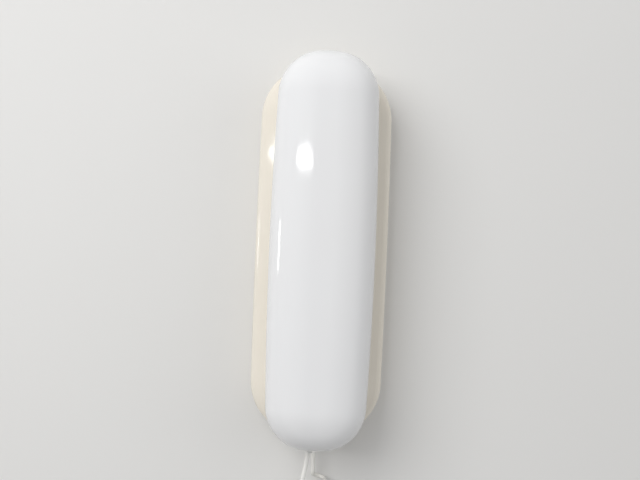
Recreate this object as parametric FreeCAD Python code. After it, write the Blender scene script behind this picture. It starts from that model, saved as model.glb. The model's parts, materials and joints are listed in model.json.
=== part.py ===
import FreeCAD
import Part

import math
import os

# A slim wall telephone in millimetres. Across is +X, up is +Z and the wall is the plane y = 0,
# with the front towards -Y. Depths are called out: the distance from the wall to the user.
# The origin is the middle of the back face, where the telephone meets the wall.

# Handset outline, seen from the front
HANDSET_LENGTH = 214.0
HANDSET_WIDTH = 57.0
HANDSET_SIDE_RADIUS = 2400.0
HANDSET_END_RADIUS = 70.0
HANDSET_CORNER_RADIUS = 24.0

# Handset shells
HANDSET_WALL = 2.4
OUTER_SHELL_DEPTH = 20.0
HANDSET_CROWN_RUN = 23.5
HANDSET_CROWN_RADIUS = 32.0
HANDSET_RIM_RADIUS = 18.0
INNER_SHELL_DEPTH = 12.0
INNER_FACE_INSET = 3.0
INNER_FACE_EDGE = 1.2
LIP_DEPTH = 1.8
LIP_THICKNESS = 1.1
LIP_CLEARANCE = 0.15
HANDSET_GAP = 2.0

# Base shells
BASE_LENGTH = 208.0
BASE_WIDTH = 74.0
BASE_SIDE_RADIUS = 6000.0
BASE_END_RADIUS = 150.0
BASE_CORNER_RADIUS = 30.0
BASE_DEPTH = 26.0
BASE_CROWN_RUN = 29.0
BASE_CROWN_RADIUS = 72.0
BASE_RIM_RADIUS = 5.0
BASE_WALL = 2.4
BACK_PLATE_THICKNESS = 2.4
BACK_PLATE_CLEARANCE = 0.2

# Ear and mouth cups on the handset, and the recesses that take them
CUP_HALF_ANGLE = 33.0
CUP_FACE_EDGE = 1.0
EAR_CUP_RADIUS = 22.0
EAR_CUP_HEIGHT = 7.0
EAR_HEIGHT = 72.0
MOUTH_CUP_RADIUS = 18.0
MOUTH_CUP_HEIGHT = 6.0
MOUTH_FROM_END = 29.0
MOUTH_FROM_HANDSET_END = 32.0
RECESS_CLEARANCE = 1.4
RECESS_FLOOR_GAP = 4.0
SOUND_HOLE_RADIUS = 1.5
EAR_HOLE_RING_RADIUS = 6.0
EAR_HOLE_COUNT = 6
MOUTH_HOLE_RING_RADIUS = 5.0
MOUTH_HOLE_COUNT = 4

# Well in the front of the base, and what comes through its floor
WELL_WIDTH = 46.0
WELL_BELOW_TAB = 9.0
WELL_BOTTOM = -50.0
WELL_CORNER_RADIUS = 5.0
WELL_FLOOR_DEPTH = 4.0
SOUND_SLOT_LENGTH = 22.0
SOUND_SLOT_WIDTH = 2.0
SOUND_SLOT_PITCH = 4.5
SOUND_SLOT_COUNT = 5

# Slanted tab that carries the handset
LIFT_ANGLE = 25.0
TAB_BELOW_EAR = 30.0
TAB_WIDTH = 12.0
TAB_THICKNESS = 3.0
TAB_REACH = 8.5
TAB_SOCKET_CLEARANCE = 0.1
TAB_HANG_CLEARANCE = 0.4
TAB_HEAD_WIDTH = 16.0
TAB_HEAD_HEIGHT = 9.0
TAB_HEAD_THICKNESS = 2.2
TAB_HEAD_DROP = 1.2
TAB_HEAD_CLEARANCE = 0.4

# Screws: head radius, head height, shank radius and length below the head
COVER_SCREW = (3.2, 2.0, 1.5, 9.0)
HANDSET_SCREW = (2.9, 1.9, 1.5, 15.0)
BOARD_SCREW = (2.4, 1.4, 1.2, 4.4)
SCREW_CLEARANCE = 0.2
SCREW_PILOT_CLEARANCE = 0.05
COVER_POST_RADIUS = 4.0
HANDSET_SCREW_ACROSS = 17.0
HANDSET_SCREW_ABOVE_TAB = 3.0
HANDSET_SCREW_ABOVE_MOUTH = 35.0
HANDSET_POST_RADIUS = 3.9

# Wall fixing: two screws at the pitch of a single switch box, and the wire window
WALL_SCREW_PITCH = 83.5
WALL_SCREW_HOLE_RADIUS = 2.25
WIRE_WINDOW_WIDTH = 26.0
WIRE_WINDOW_HEIGHT = 18.0
WIRE_WINDOW_CENTRE = 12.0
WIRE_WINDOW_CORNER_RADIUS = 3.0

# Main board in the base
BOARD_THICKNESS = 1.6
MAIN_BOARD_WIDTH = 58.0
MAIN_BOARD_LENGTH = 70.0
MAIN_BOARD_STAND = 3.6
MAIN_BOARD_CORNER_RADIUS = 3.0
BOARD_POST_RADIUS = 2.6
BOARD_POST_MARGIN = 4.0

# Hook switch and its plunger
HOOK_ACROSS = -8.0
HOOK_HEIGHT = -27.0
HOOK_TRAVEL = 3.5
HOOK_STEM_WIDTH = 11.0
HOOK_STEM_HEIGHT = 6.0
HOOK_STEM_CORNER_RADIUS = 2.0
HOOK_FLANGE_MARGIN = 1.8
HOOK_FLANGE_THICKNESS = 1.5
HOOK_GUIDE_CLEARANCE = 0.35
HOOK_STOP_CLEARANCE = 0.3
HOOK_TIP_CLEARANCE = 0.3
HOOK_TIP_EDGE = 1.0
HOOK_SWITCH_WIDTH = 16.0
HOOK_SWITCH_HEIGHT = 9.0
HOOK_SPRING_SPAN = 13.0
HOOK_SPRING_WIDTH = 5.0
HOOK_SPRING_RISE = 1.6
HOOK_SPRING_THICKNESS = 0.35
HOOK_SPRING_CLEARANCE = 0.1

# Ringer sounder and its volume switch
SPEAKER_BELOW_TAB = 27.0
SPEAKER_RADIUS = 15.5
SPEAKER_DEPTH = 5.5
SPEAKER_MAGNET_RADIUS = 8.0
SPEAKER_RIM_DEPTH = 2.0
RINGER_ACROSS = 11.0
RINGER_HEIGHT = -27.0
RINGER_TRAVEL = 3.0
RINGER_CAP_WIDTH = 8.0
RINGER_CAP_HEIGHT = 7.0
RINGER_CAP_DEPTH = 2.6
RINGER_CAP_CORNER_RADIUS = 1.0
RINGER_STEM_WIDTH = 3.0
RINGER_STEM_HEIGHT = 2.6
RINGER_CLEARANCE = 0.3
RINGER_BODY_WIDTH = 15.0
RINGER_BODY_HEIGHT = 7.0
RINGER_BODY_DEPTH = 6.0
RINGER_STEM_ENTRY = 2.0

# Parts soldered to the main board
TRANSFORMER_ACROSS = -17.0
TRANSFORMER_HEIGHT = -10.0
TRANSFORMER_WIDTH = 18.0
TRANSFORMER_LENGTH = 14.0
TRANSFORMER_DEPTH = 11.0
TRANSFORMER_LEG = 4.0
TRANSFORMER_COIL_OVERHANG = 1.6
CAPACITOR_RADIUS = 3.5
CAPACITOR_DEPTH = 10.5
CAPACITOR_PLACES = ((6.0, -10.0), (14.5, -10.0), (23.0, -10.0))
TERMINAL_FROM_EDGE = 8.0
TERMINAL_HEIGHT = 20.0
TERMINAL_WIDTH = 9.0
TERMINAL_LENGTH = 14.0
TERMINAL_DEPTH = 5.5
TERMINAL_SCREW_PITCH = 6.5
TERMINAL_SCREW_RADIUS = 1.9
TERMINAL_SCREW_DEPTH = 1.0
TERMINAL_SLOT_WIDTH = 0.7

# Keypad on the inner face of the handset
KEY_WIDTH = 10.0
KEY_HEIGHT = 8.0
KEY_CORNER_RADIUS = 1.8
KEY_PITCH_ACROSS = 14.0
KEY_PITCH_UP = 12.5
KEYS_BELOW_TAB = 15.0
KEY_PROUD = 1.2
KEY_EDGE = 0.5
KEY_TRAVEL = 1.2
KEY_CLEARANCE = 0.35
KEY_FLANGE_MARGIN = 0.9
KEY_FLANGE_THICKNESS = 0.9
KEY_SEAT_CLEARANCE = 0.2
KEY_ROWS = (("key_1", "key_2", "key_3"), ("key_4", "key_5", "key_6"),
            ("key_7", "key_8", "key_9"), ("key_star", "key_0", "key_hash"))
MAT_THICKNESS = 0.8
MAT_CORNER_RADIUS = 2.0
MAT_PAD_WIDTH = 6.0
MAT_PAD_HEIGHT = 5.0
MAT_PAD_SPARE = 0.5
MAT_PAD_CLEARANCE = 0.1
KEYPAD_BOARD_MARGIN = 3.0
KEYPAD_POST_MARGIN = 3.4
KEYPAD_POST_RADIUS = 2.1

# Receiver, transmitter and weight in the handset
RECEIVER_RADIUS = 15.0
RECEIVER_DEPTH = 8.5
RECEIVER_BODY_RADIUS = 11.5
RECEIVER_FLANGE_DEPTH = 3.5
RECEIVER_CLEARANCE = 0.3
COLLAR_THICKNESS = 1.5
GASKET_THICKNESS = 1.0
GASKET_WIDTH = 2.6
RETAINER_THICKNESS = 1.2
RETAINER_OVERLAP = 2.2
TRANSMITTER_RADIUS = 4.9
TRANSMITTER_DEPTH = 6.5
BOOT_THICKNESS = 1.8
BOOT_FLOOR = 1.0
BOOT_COLLAR_DEPTH = 5.0
BALLAST_WIDTH = 24.0
BALLAST_LENGTH = 62.0
BALLAST_DEPTH = 7.0
BALLAST_CLEARANCE = 0.2
BALLAST_CORNER_RADIUS = 2.0

# Cord sockets and plugs
JACK_WIDTH = 11.0
JACK_DEPTH = 9.0
JACK_LENGTH = 13.0
JACK_END_CLEARANCE = 0.8
PLUG_WIDTH = 7.4
PLUG_DEPTH = 6.4
PLUG_LENGTH = 16.0
PLUG_INSERTION = 11.0
PLUG_CLEARANCE = 0.2
BASE_CORD_ACROSS = 0.5
HANDSET_CORD_ACROSS = -2.2

# Cord: strand, outer diameter of its curls, and the points it passes after each plug,
# as across, out and up
STRAND_DIAMETER = 2.4
COIL_DIAMETER = 9.5
COIL_START_UP = -117.0
HANDSET_TAIL_POINTS = ((-2.2, 34.9, -116.0), (-3.9, 34.86, -128.2), (-9.8, 34.2, -142.5))
COIL_POINTS = ((4.0, 7.0, -136.0), (11.0, 8.0, -162.0), (22.0, 9.5, -185.0),
               (30.5, 12.0, -207.0), (28.0, 15.0, -229.0), (13.8, 18.5, -245.0),
               (-7.5, 22.0, -248.0), (-26.0, 26.0, -237.0), (-35.0, 29.5, -218.0),
               (-31.5, 31.5, -196.0), (-20.5, 33.0, -168.5), (-9.8, 34.2, -142.5))

# Places that follow from the sizes above. The mouth clears the cord sockets at both lower ends.
MOUTH_HEIGHT = max(MOUTH_FROM_END - BASE_LENGTH / 2, MOUTH_FROM_HANDSET_END - HANDSET_LENGTH / 2)
TAB_HEIGHT = EAR_HEIGHT - TAB_BELOW_EAR
HANDSET_SCREW_HEIGHTS = (TAB_HEIGHT + HANDSET_SCREW_ABOVE_TAB, MOUTH_HEIGHT + HANDSET_SCREW_ABOVE_MOUTH)
WELL_TOP = TAB_HEIGHT - WELL_BELOW_TAB
SPEAKER_CENTRE = TAB_HEIGHT - SPEAKER_BELOW_TAB
KEY_TOP_ROW = TAB_HEIGHT - KEYS_BELOW_TAB
TERMINAL_ACROSS = MAIN_BOARD_WIDTH / 2 - TERMINAL_FROM_EDGE

# Depths that follow from the sizes above
OVERRUN = 2.0
UP = FreeCAD.Vector(0, 0, 1)
OUTWARD = FreeCAD.Vector(0, -1, 0)
INNER_FACE_OUT = BASE_DEPTH + HANDSET_GAP
INNER_BACK_OUT = INNER_FACE_OUT + HANDSET_WALL
PARTING_OUT = INNER_FACE_OUT + INNER_SHELL_DEPTH
CROWN_OUT = PARTING_OUT + OUTER_SHELL_DEPTH
EAR_FACE_OUT = INNER_FACE_OUT - EAR_CUP_HEIGHT
MOUTH_FACE_OUT = INNER_FACE_OUT - MOUTH_CUP_HEIGHT
WELL_FLOOR_OUT = BASE_DEPTH - WELL_FLOOR_DEPTH
WELL_BACK_OUT = WELL_FLOOR_OUT - BASE_WALL
MAIN_BOARD_OUT = BACK_PLATE_THICKNESS + MAIN_BOARD_STAND
MAIN_BOARD_TOP = MAIN_BOARD_OUT + BOARD_THICKNESS
KEY_FLANGE_OUT = INNER_BACK_OUT + KEY_SEAT_CLEARANCE
KEY_BACK_OUT = KEY_FLANGE_OUT + KEY_FLANGE_THICKNESS
MAT_PAD_OUT = KEY_BACK_OUT + MAT_PAD_CLEARANCE
MAT_OUT = MAT_PAD_OUT + KEY_TRAVEL + MAT_PAD_SPARE
KEYPAD_BOARD_OUT = MAT_OUT + MAT_THICKNESS
KEYPAD_CENTRE = KEY_TOP_ROW - (len(KEY_ROWS) - 1) * KEY_PITCH_UP / 2
KEY_FIELD_WIDTH = 2 * KEY_PITCH_ACROSS + KEY_WIDTH
KEY_FIELD_HEIGHT = (len(KEY_ROWS) - 1) * KEY_PITCH_UP + KEY_HEIGHT
KEYPAD_POST_ACROSS = KEY_FIELD_WIDTH / 2
KEYPAD_POST_UP = KEY_FIELD_HEIGHT / 2 + KEYPAD_POST_MARGIN
BASE_CORD_OUT = BACK_PLATE_THICKNESS + JACK_DEPTH / 2
HANDSET_CORD_OUT = INNER_BACK_OUT + JACK_DEPTH / 2


def at(across, out, up):
    """The point at a distance across, out from the wall and up."""
    return FreeCAD.Vector(across, -out, up)


def disc(radius, out_from, out_to, across=0.0, up=0.0):
    """A round bar that points out from the wall."""
    return Part.makeCylinder(radius, out_to - out_from, at(across, out_from, up), OUTWARD)


def ring(radius, hole_radius, out_from, out_to, across=0.0, up=0.0):
    """A flat ring that faces out from the wall."""
    hole = disc(hole_radius, out_from, out_to, across, up)
    return disc(radius, out_from, out_to, across, up).cut(hole)


def cone(radius_from, radius_to, out_from, out_to, up):
    """A cone about an axis that points out from the wall."""
    depth = out_to - out_from
    return Part.makeCone(radius_from, radius_to, depth, at(0, out_from, up), OUTWARD)


def block(width, height, out_from, out_to, across=0.0, up=0.0):
    """A block centred across and up, between two depths."""
    corner = at(across - width / 2, out_to, up - height / 2)
    return Part.makeBox(width, out_to - out_from, height, corner)


def rounded_block(width, height, radius, out_from, out_to, across=0.0, up=0.0):
    """A block whose corners are rounded as seen from the front."""
    body = block(width, height, out_from, out_to, across, up)
    corners = [edge for edge in body.Edges if abs(edge.tangentAt(edge.FirstParameter).y) > 0.5]
    return body.makeFillet(radius, corners)


def union(shapes):
    """One solid made of all the shapes."""
    joined = shapes[0].multiFuse(list(shapes[1:]))
    return joined.removeSplitter()


def without(body, tools):
    """The body with all the tools cut away."""
    return body.cut(Part.makeCompound(list(tools)))


def edges_at_depth(body, out):
    """The edges of a body that lie flat at one depth."""
    return [edge for edge in body.Edges
            if abs(edge.BoundBox.YMin + out) < 0.001 and abs(edge.BoundBox.YMax + out) < 0.001]


def screw(sizes, seat_out, across, up, faces_out):
    """A round-headed screw whose head sits on a seat and faces out or towards the wall."""
    head_radius, head_height, shank_radius, shank_length = sizes
    side = 1 if faces_out else -1
    head_ends = sorted((seat_out, seat_out + side * head_height))
    shank_ends = sorted((seat_out, seat_out - side * shank_length))
    head = disc(head_radius, *head_ends, across, up)
    shank = disc(shank_radius, *shank_ends, across, up)
    return union([head, shank])


class Outline:
    """A long outline of arcs that touch: two bowed sides, two bowed ends and four corners."""

    def __init__(self, length, width, side_radius, end_radius, corner_radius):
        self.length = length
        self.width = width
        self.side_radius = side_radius
        self.end_radius = end_radius
        self.corner_radius = corner_radius
        self.side_centre = width / 2 - side_radius
        self.end_centre = length / 2 - end_radius
        self.corner_across, self.corner_up = self.corner_centre()

    def corner_centre(self):
        """The middle of the corner arc that touches both a side and an end."""
        from_side = self.side_radius - self.corner_radius
        from_end = self.end_radius - self.corner_radius
        apart = math.hypot(self.side_centre, self.end_centre)
        along = (from_side ** 2 - from_end ** 2 + apart ** 2) / (2 * apart)
        beside = math.sqrt(from_side ** 2 - along ** 2)
        step_across = -self.side_centre / apart
        step_up = self.end_centre / apart
        across = self.side_centre + along * step_across - beside * step_up
        up = along * step_up + beside * step_across
        return across, up

    def wire(self, inset, out):
        """The outline at one depth, moved in all round, from the middle of the right side."""
        half = math.pi
        side = math.atan2(self.corner_up, self.corner_across - self.side_centre)
        end = math.atan2(self.corner_up - self.end_centre, self.corner_across)
        edges = []

        def arc(across, up, radius, start, finish):
            reach = radius - inset
            points = [at(across + reach * math.cos(angle), out, up + reach * math.sin(angle))
                      for angle in (start, (start + finish) / 2, finish)]
            edges.append(Part.Arc(*points).toShape())

        arc(self.side_centre, 0, self.side_radius, 0, side)
        arc(self.corner_across, self.corner_up, self.corner_radius, side, end)
        arc(0, self.end_centre, self.end_radius, end, half - end)
        arc(-self.corner_across, self.corner_up, self.corner_radius, half - end, half - side)
        arc(-self.side_centre, 0, self.side_radius, half - side, half + side)
        arc(-self.corner_across, -self.corner_up, self.corner_radius, half + side, half + end)
        arc(0, -self.end_centre, self.end_radius, half + end, 2 * half - end)
        arc(self.corner_across, -self.corner_up, self.corner_radius, 2 * half - end, 2 * half - side)
        arc(self.side_centre, 0, self.side_radius, 2 * half - side, 2 * half)
        return Part.Wire(edges)

    def prism(self, inset, out_from, out_to):
        """A straight prism of the outline between two depths."""
        return Part.Face(self.wire(inset, out_from)).extrude(OUTWARD * (out_to - out_from))

    def dome(self, inset, out_from, crown_out, crown_run, crown_radius, rim_radius):
        """A domed body, moved in all round, whose side profile is carried round the outline.

        The profile rises straight, turns in on the rim radius and flattens on the crown radius
        until it is level at the crown run, measured in from the outline.
        """
        crown_centre = crown_out - crown_radius
        lean = math.asin((crown_run - rim_radius) / (crown_radius - rim_radius))
        rim_centre = crown_centre + (crown_radius - rim_radius) * math.cos(lean)

        def point(run, out):
            return at(self.width / 2 - run, out, 0)

        def on_rim(angle):
            reach = rim_radius - inset
            return point(rim_radius - reach * math.sin(angle), rim_centre + reach * math.cos(angle))

        def on_crown(angle):
            reach = crown_radius - inset
            return point(crown_run - reach * math.sin(angle), crown_centre + reach * math.cos(angle))

        square = math.pi / 2
        foot = point(inset, out_from)
        inner_foot = point(crown_run, out_from)
        curves = [Part.LineSegment(foot, on_rim(square)),
                  Part.Arc(on_rim(square), on_rim((square + lean) / 2), on_rim(lean)),
                  Part.Arc(on_crown(lean), on_crown(lean / 2), on_crown(0)),
                  Part.LineSegment(on_crown(0), inner_foot),
                  Part.LineSegment(inner_foot, foot)]
        profile = Part.Wire([curve.toShape() for curve in curves])
        rim = self.wire(inset, out_from).makePipeShell([profile], True, True)
        return union([rim, self.prism(crown_run, out_from, crown_out - inset)])


HANDSET = Outline(HANDSET_LENGTH, HANDSET_WIDTH, HANDSET_SIDE_RADIUS, HANDSET_END_RADIUS,
                  HANDSET_CORNER_RADIUS)
BASE = Outline(BASE_LENGTH, BASE_WIDTH, BASE_SIDE_RADIUS, BASE_END_RADIUS, BASE_CORNER_RADIUS)


def handset_dome(inset, out_from):
    """The domed back of the handset from one depth, moved in all round."""
    return HANDSET.dome(inset, out_from, CROWN_OUT, HANDSET_CROWN_RUN, HANDSET_CROWN_RADIUS,
                        HANDSET_RIM_RADIUS)


def base_dome(inset, out_from):
    """The domed front of the base from one depth, moved in all round."""
    return BASE.dome(inset, out_from, BASE_DEPTH, BASE_CROWN_RUN, BASE_CROWN_RADIUS, BASE_RIM_RADIUS)


def taper_inset(out):
    """How far the inner shell's side lies inside the outline at one depth."""
    return INNER_FACE_INSET * (PARTING_OUT - out) / INNER_SHELL_DEPTH


def handset_taper(inset, out_from, out_to):
    """The tapered body of the inner shell between two depths, moved in all round."""
    lower = HANDSET.wire(taper_inset(out_from) + inset, out_from)
    upper = HANDSET.wire(taper_inset(out_to) + inset, out_to)
    return Part.makeLoft([lower, upper], True, True)


def cup_radius(rim_radius, out):
    """The radius of a cup's cone at one depth."""
    return rim_radius - (INNER_FACE_OUT - out) * math.tan(math.radians(CUP_HALF_ANGLE))


def cup(rim_radius, up, out_from, out_to, grow):
    """A cup's cone between two depths, with its side moved out by a distance."""
    side = grow / math.cos(math.radians(CUP_HALF_ANGLE))
    return cone(cup_radius(rim_radius, out_from) + side, cup_radius(rim_radius, out_to) + side,
                out_from, out_to, up)


def sound_holes(ring_radius, count, out_from, out_to, up):
    """A round hole on a cup's axis and a ring of the same holes about it."""
    holes = [disc(SOUND_HOLE_RADIUS, out_from, out_to, 0, up)]
    for number in range(count):
        angle = 2 * math.pi * number / count
        across = ring_radius * math.sin(angle)
        rise = ring_radius * math.cos(angle)
        holes.append(disc(SOUND_HOLE_RADIUS, out_from, out_to, across, up + rise))
    return holes


def tab_blade(clearance, out_from, out_to):
    """The hanger tab's blade, slanted along the way the handset lifts off."""
    slant = math.radians(LIFT_ANGLE)
    near = (out_from - BASE_DEPTH) / math.cos(slant)
    far = (out_to - BASE_DEPTH) / math.cos(slant)
    blade = block(TAB_WIDTH + 2 * clearance, TAB_THICKNESS + 2 * clearance,
                  BASE_DEPTH + near, BASE_DEPTH + far, 0, TAB_HEIGHT)
    blade.rotate(at(0, BASE_DEPTH, TAB_HEIGHT), FreeCAD.Vector(1, 0, 0), -LIFT_ANGLE)
    return blade


def key_places():
    """Each key's name and its place across and up."""
    places = []
    for row, names in enumerate(KEY_ROWS):
        for column, name in enumerate(names):
            across = (1 - column) * KEY_PITCH_ACROSS
            places.append((name, across, KEY_TOP_ROW - row * KEY_PITCH_UP))
    return places


def handset_screw_places():
    """The places of the screws that hold the handset's shells together."""
    return [(side * HANDSET_SCREW_ACROSS, up) for side in (-1, 1) for up in HANDSET_SCREW_HEIGHTS]


def main_board_post_places():
    """The places of the posts that carry the main board."""
    across = MAIN_BOARD_WIDTH / 2 - BOARD_POST_MARGIN
    up = MAIN_BOARD_LENGTH / 2 - BOARD_POST_MARGIN
    return [(side * across, end * up) for side in (-1, 1) for end in (-1, 1)]


def keypad_post_places():
    """The places of the posts that carry the keypad board."""
    return [(side * KEYPAD_POST_ACROSS, KEYPAD_CENTRE + end * KEYPAD_POST_UP)
            for side in (-1, 1) for end in (-1, 1)]


def recess_floor_out(face_out):
    """The depth of a recess floor below the cup face that enters it."""
    return face_out - RECESS_FLOOR_GAP


def make_base_cover():
    """The base's moulded cover: a domed shell with two recesses, a well and its openings."""
    outer = base_dome(0, 0)
    hollow = base_dome(BASE_WALL, -OVERRUN)
    top = BASE_DEPTH + OVERRUN
    linings = []
    recesses = []
    for rim_radius, up, face_out in ((EAR_CUP_RADIUS, EAR_HEIGHT, EAR_FACE_OUT),
                                     (MOUTH_CUP_RADIUS, MOUTH_HEIGHT, MOUTH_FACE_OUT)):
        floor_out = recess_floor_out(face_out)
        linings.append(cup(rim_radius, up, floor_out - BASE_WALL, top, RECESS_CLEARANCE + BASE_WALL))
        recesses.append(cup(rim_radius, up, floor_out, top, RECESS_CLEARANCE))
    well_height = WELL_TOP - WELL_BOTTOM
    well_centre = (WELL_TOP + WELL_BOTTOM) / 2
    linings.append(rounded_block(WELL_WIDTH + 2 * BASE_WALL, well_height + 2 * BASE_WALL,
                                 WELL_CORNER_RADIUS + BASE_WALL, WELL_BACK_OUT, top, 0, well_centre))
    recesses.append(rounded_block(WELL_WIDTH, well_height, WELL_CORNER_RADIUS,
                                  WELL_FLOOR_OUT, top, 0, well_centre))
    body = union([outer.cut(hollow)] + [lining.common(outer) for lining in linings])
    body = without(body, recesses)
    return without(body, cover_openings())


def cover_openings():
    """The slots and holes through the cover's floors and end wall."""
    cuts = [tab_blade(TAB_SOCKET_CLEARANCE, WELL_BACK_OUT, BASE_DEPTH + OVERRUN)]
    for up, face_out in ((EAR_HEIGHT, EAR_FACE_OUT), (MOUTH_HEIGHT, MOUTH_FACE_OUT)):
        floor_out = recess_floor_out(face_out)
        cuts.append(disc(COVER_SCREW[2] + SCREW_CLEARANCE, floor_out - BASE_WALL, floor_out, 0, up))
    cuts.append(rounded_block(HOOK_STEM_WIDTH + 2 * HOOK_GUIDE_CLEARANCE,
                              HOOK_STEM_HEIGHT + 2 * HOOK_GUIDE_CLEARANCE,
                              HOOK_STEM_CORNER_RADIUS + HOOK_GUIDE_CLEARANCE,
                              WELL_BACK_OUT, WELL_FLOOR_OUT, HOOK_ACROSS, HOOK_HEIGHT))
    cuts.append(block(RINGER_STEM_WIDTH + 2 * (RINGER_TRAVEL + RINGER_CLEARANCE),
                      RINGER_STEM_HEIGHT + 2 * RINGER_CLEARANCE,
                      WELL_BACK_OUT, WELL_FLOOR_OUT, RINGER_ACROSS, RINGER_HEIGHT))
    first_slot = SPEAKER_CENTRE - (SOUND_SLOT_COUNT - 1) * SOUND_SLOT_PITCH / 2
    for number in range(SOUND_SLOT_COUNT):
        cuts.append(block(SOUND_SLOT_LENGTH, SOUND_SLOT_WIDTH, WELL_BACK_OUT, WELL_FLOOR_OUT,
                          0, first_slot + number * SOUND_SLOT_PITCH))
    cuts.append(block(PLUG_WIDTH + 2 * PLUG_CLEARANCE, 2 * (BASE_WALL + OVERRUN),
                      BASE_CORD_OUT - PLUG_DEPTH / 2 - PLUG_CLEARANCE,
                      BASE_CORD_OUT + PLUG_DEPTH / 2 + PLUG_CLEARANCE,
                      BASE_CORD_ACROSS, -BASE_LENGTH / 2))
    return cuts


def make_back_plate():
    """The plate on the wall, with its screw holes, wire window and posts."""
    plate = BASE.prism(BASE_WALL + BACK_PLATE_CLEARANCE, 0, BACK_PLATE_THICKNESS)
    posts = []
    pilots = []
    for up, face_out in ((EAR_HEIGHT, EAR_FACE_OUT), (MOUTH_HEIGHT, MOUTH_FACE_OUT)):
        top = recess_floor_out(face_out) - BASE_WALL
        posts.append(disc(COVER_POST_RADIUS, 0, top, 0, up))
        pilots.append(disc(COVER_SCREW[2] + SCREW_PILOT_CLEARANCE, BACK_PLATE_THICKNESS, top, 0, up))
    for across, up in main_board_post_places():
        posts.append(disc(BOARD_POST_RADIUS, 0, MAIN_BOARD_OUT, across, up))
        pilots.append(disc(BOARD_SCREW[2] + SCREW_PILOT_CLEARANCE, BACK_PLATE_THICKNESS,
                           MAIN_BOARD_OUT, across, up))
    window = rounded_block(WIRE_WINDOW_WIDTH, WIRE_WINDOW_HEIGHT, WIRE_WINDOW_CORNER_RADIUS,
                           0, BACK_PLATE_THICKNESS, 0, WIRE_WINDOW_CENTRE)
    wall_holes = [disc(WALL_SCREW_HOLE_RADIUS, 0, BACK_PLATE_THICKNESS, 0, end * WALL_SCREW_PITCH / 2)
                  for end in (-1, 1)]
    return without(union([plate] + posts), pilots + wall_holes + [window])


def make_cover_screws():
    """The two screws in the recess floors."""
    return Part.makeCompound([screw(COVER_SCREW, recess_floor_out(face_out), 0, up, True)
                              for up, face_out in ((EAR_HEIGHT, EAR_FACE_OUT),
                                                   (MOUTH_HEIGHT, MOUTH_FACE_OUT))])


def make_hanger_tab():
    """The slanted tab that the handset hangs on, with its head behind the cover."""
    head_top = BASE_DEPTH - BASE_WALL - TAB_HEAD_CLEARANCE
    head = block(TAB_HEAD_WIDTH, TAB_HEAD_HEIGHT, head_top - TAB_HEAD_THICKNESS, head_top,
                 0, TAB_HEIGHT - TAB_HEAD_DROP)
    blade = tab_blade(0, head_top - TAB_HEAD_THICKNESS / 2, BASE_DEPTH + TAB_REACH)
    tip = max(blade.Faces, key=lambda face: -face.CenterOfMass.y)
    return union([head, blade.makeFillet(TAB_THICKNESS / 3, tip.Edges)])


def make_main_board():
    """The circuit board in the base."""
    board = rounded_block(MAIN_BOARD_WIDTH, MAIN_BOARD_LENGTH, MAIN_BOARD_CORNER_RADIUS,
                          MAIN_BOARD_OUT, MAIN_BOARD_TOP)
    holes = [disc(BOARD_SCREW[2] + SCREW_CLEARANCE, MAIN_BOARD_OUT, MAIN_BOARD_TOP, across, up)
             for across, up in main_board_post_places()]
    return without(board, holes)


def make_board_screws():
    """The screws that hold the main board to its posts."""
    return Part.makeCompound([screw(BOARD_SCREW, MAIN_BOARD_TOP, across, up, True)
                              for across, up in main_board_post_places()])


def plunger_foot_out():
    """The depth of the plunger's foot while the handset holds it in."""
    return WELL_BACK_OUT - HOOK_STOP_CLEARANCE - HOOK_TRAVEL - HOOK_FLANGE_THICKNESS


def hook_switch_top():
    """The depth of the hook switch's front face, below its spring."""
    return plunger_foot_out() - HOOK_SPRING_CLEARANCE - HOOK_SPRING_RISE


def make_hook_plunger():
    """The button that the handset holds in, with the flange that stops it."""
    foot = plunger_foot_out()
    tip = INNER_FACE_OUT - HOOK_TIP_CLEARANCE
    stem = rounded_block(HOOK_STEM_WIDTH, HOOK_STEM_HEIGHT, HOOK_STEM_CORNER_RADIUS,
                         foot, tip, HOOK_ACROSS, HOOK_HEIGHT)
    stem = stem.makeChamfer(HOOK_TIP_EDGE, edges_at_depth(stem, tip))
    flange = rounded_block(HOOK_STEM_WIDTH + 2 * HOOK_FLANGE_MARGIN,
                           HOOK_STEM_HEIGHT + 2 * HOOK_FLANGE_MARGIN, HOOK_STEM_CORNER_RADIUS,
                           foot, foot + HOOK_FLANGE_THICKNESS, HOOK_ACROSS, HOOK_HEIGHT)
    return union([stem, flange])


def make_hook_switch():
    """The switch body that stands on the board under the plunger."""
    return block(HOOK_SWITCH_WIDTH, HOOK_SWITCH_HEIGHT, MAIN_BOARD_TOP, hook_switch_top(),
                 HOOK_ACROSS, HOOK_HEIGHT)


def make_hook_spring():
    """The arched leaf spring between the switch and the plunger's foot."""
    low = hook_switch_top()
    half = HOOK_SPRING_SPAN / 2
    up = HOOK_HEIGHT - HOOK_SPRING_WIDTH / 2

    def arch(lift, reach):
        ends = [at(HOOK_ACROSS + side * reach, low, up) for side in (-1, 1)]
        crown = at(HOOK_ACROSS, low + HOOK_SPRING_RISE - lift, up)
        return Part.Arc(ends[0], crown, ends[1])

    outside = arch(0, half)
    inside = arch(HOOK_SPRING_THICKNESS, half - 2 * HOOK_SPRING_THICKNESS)
    feet = [Part.LineSegment(outside.StartPoint, inside.StartPoint),
            Part.LineSegment(outside.EndPoint, inside.EndPoint)]
    edges = [curve.toShape() for curve in (outside, inside, *feet)]
    wire = Part.Wire(Part.__sortEdges__(edges))
    return Part.Face(wire).extrude(UP * HOOK_SPRING_WIDTH)


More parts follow.
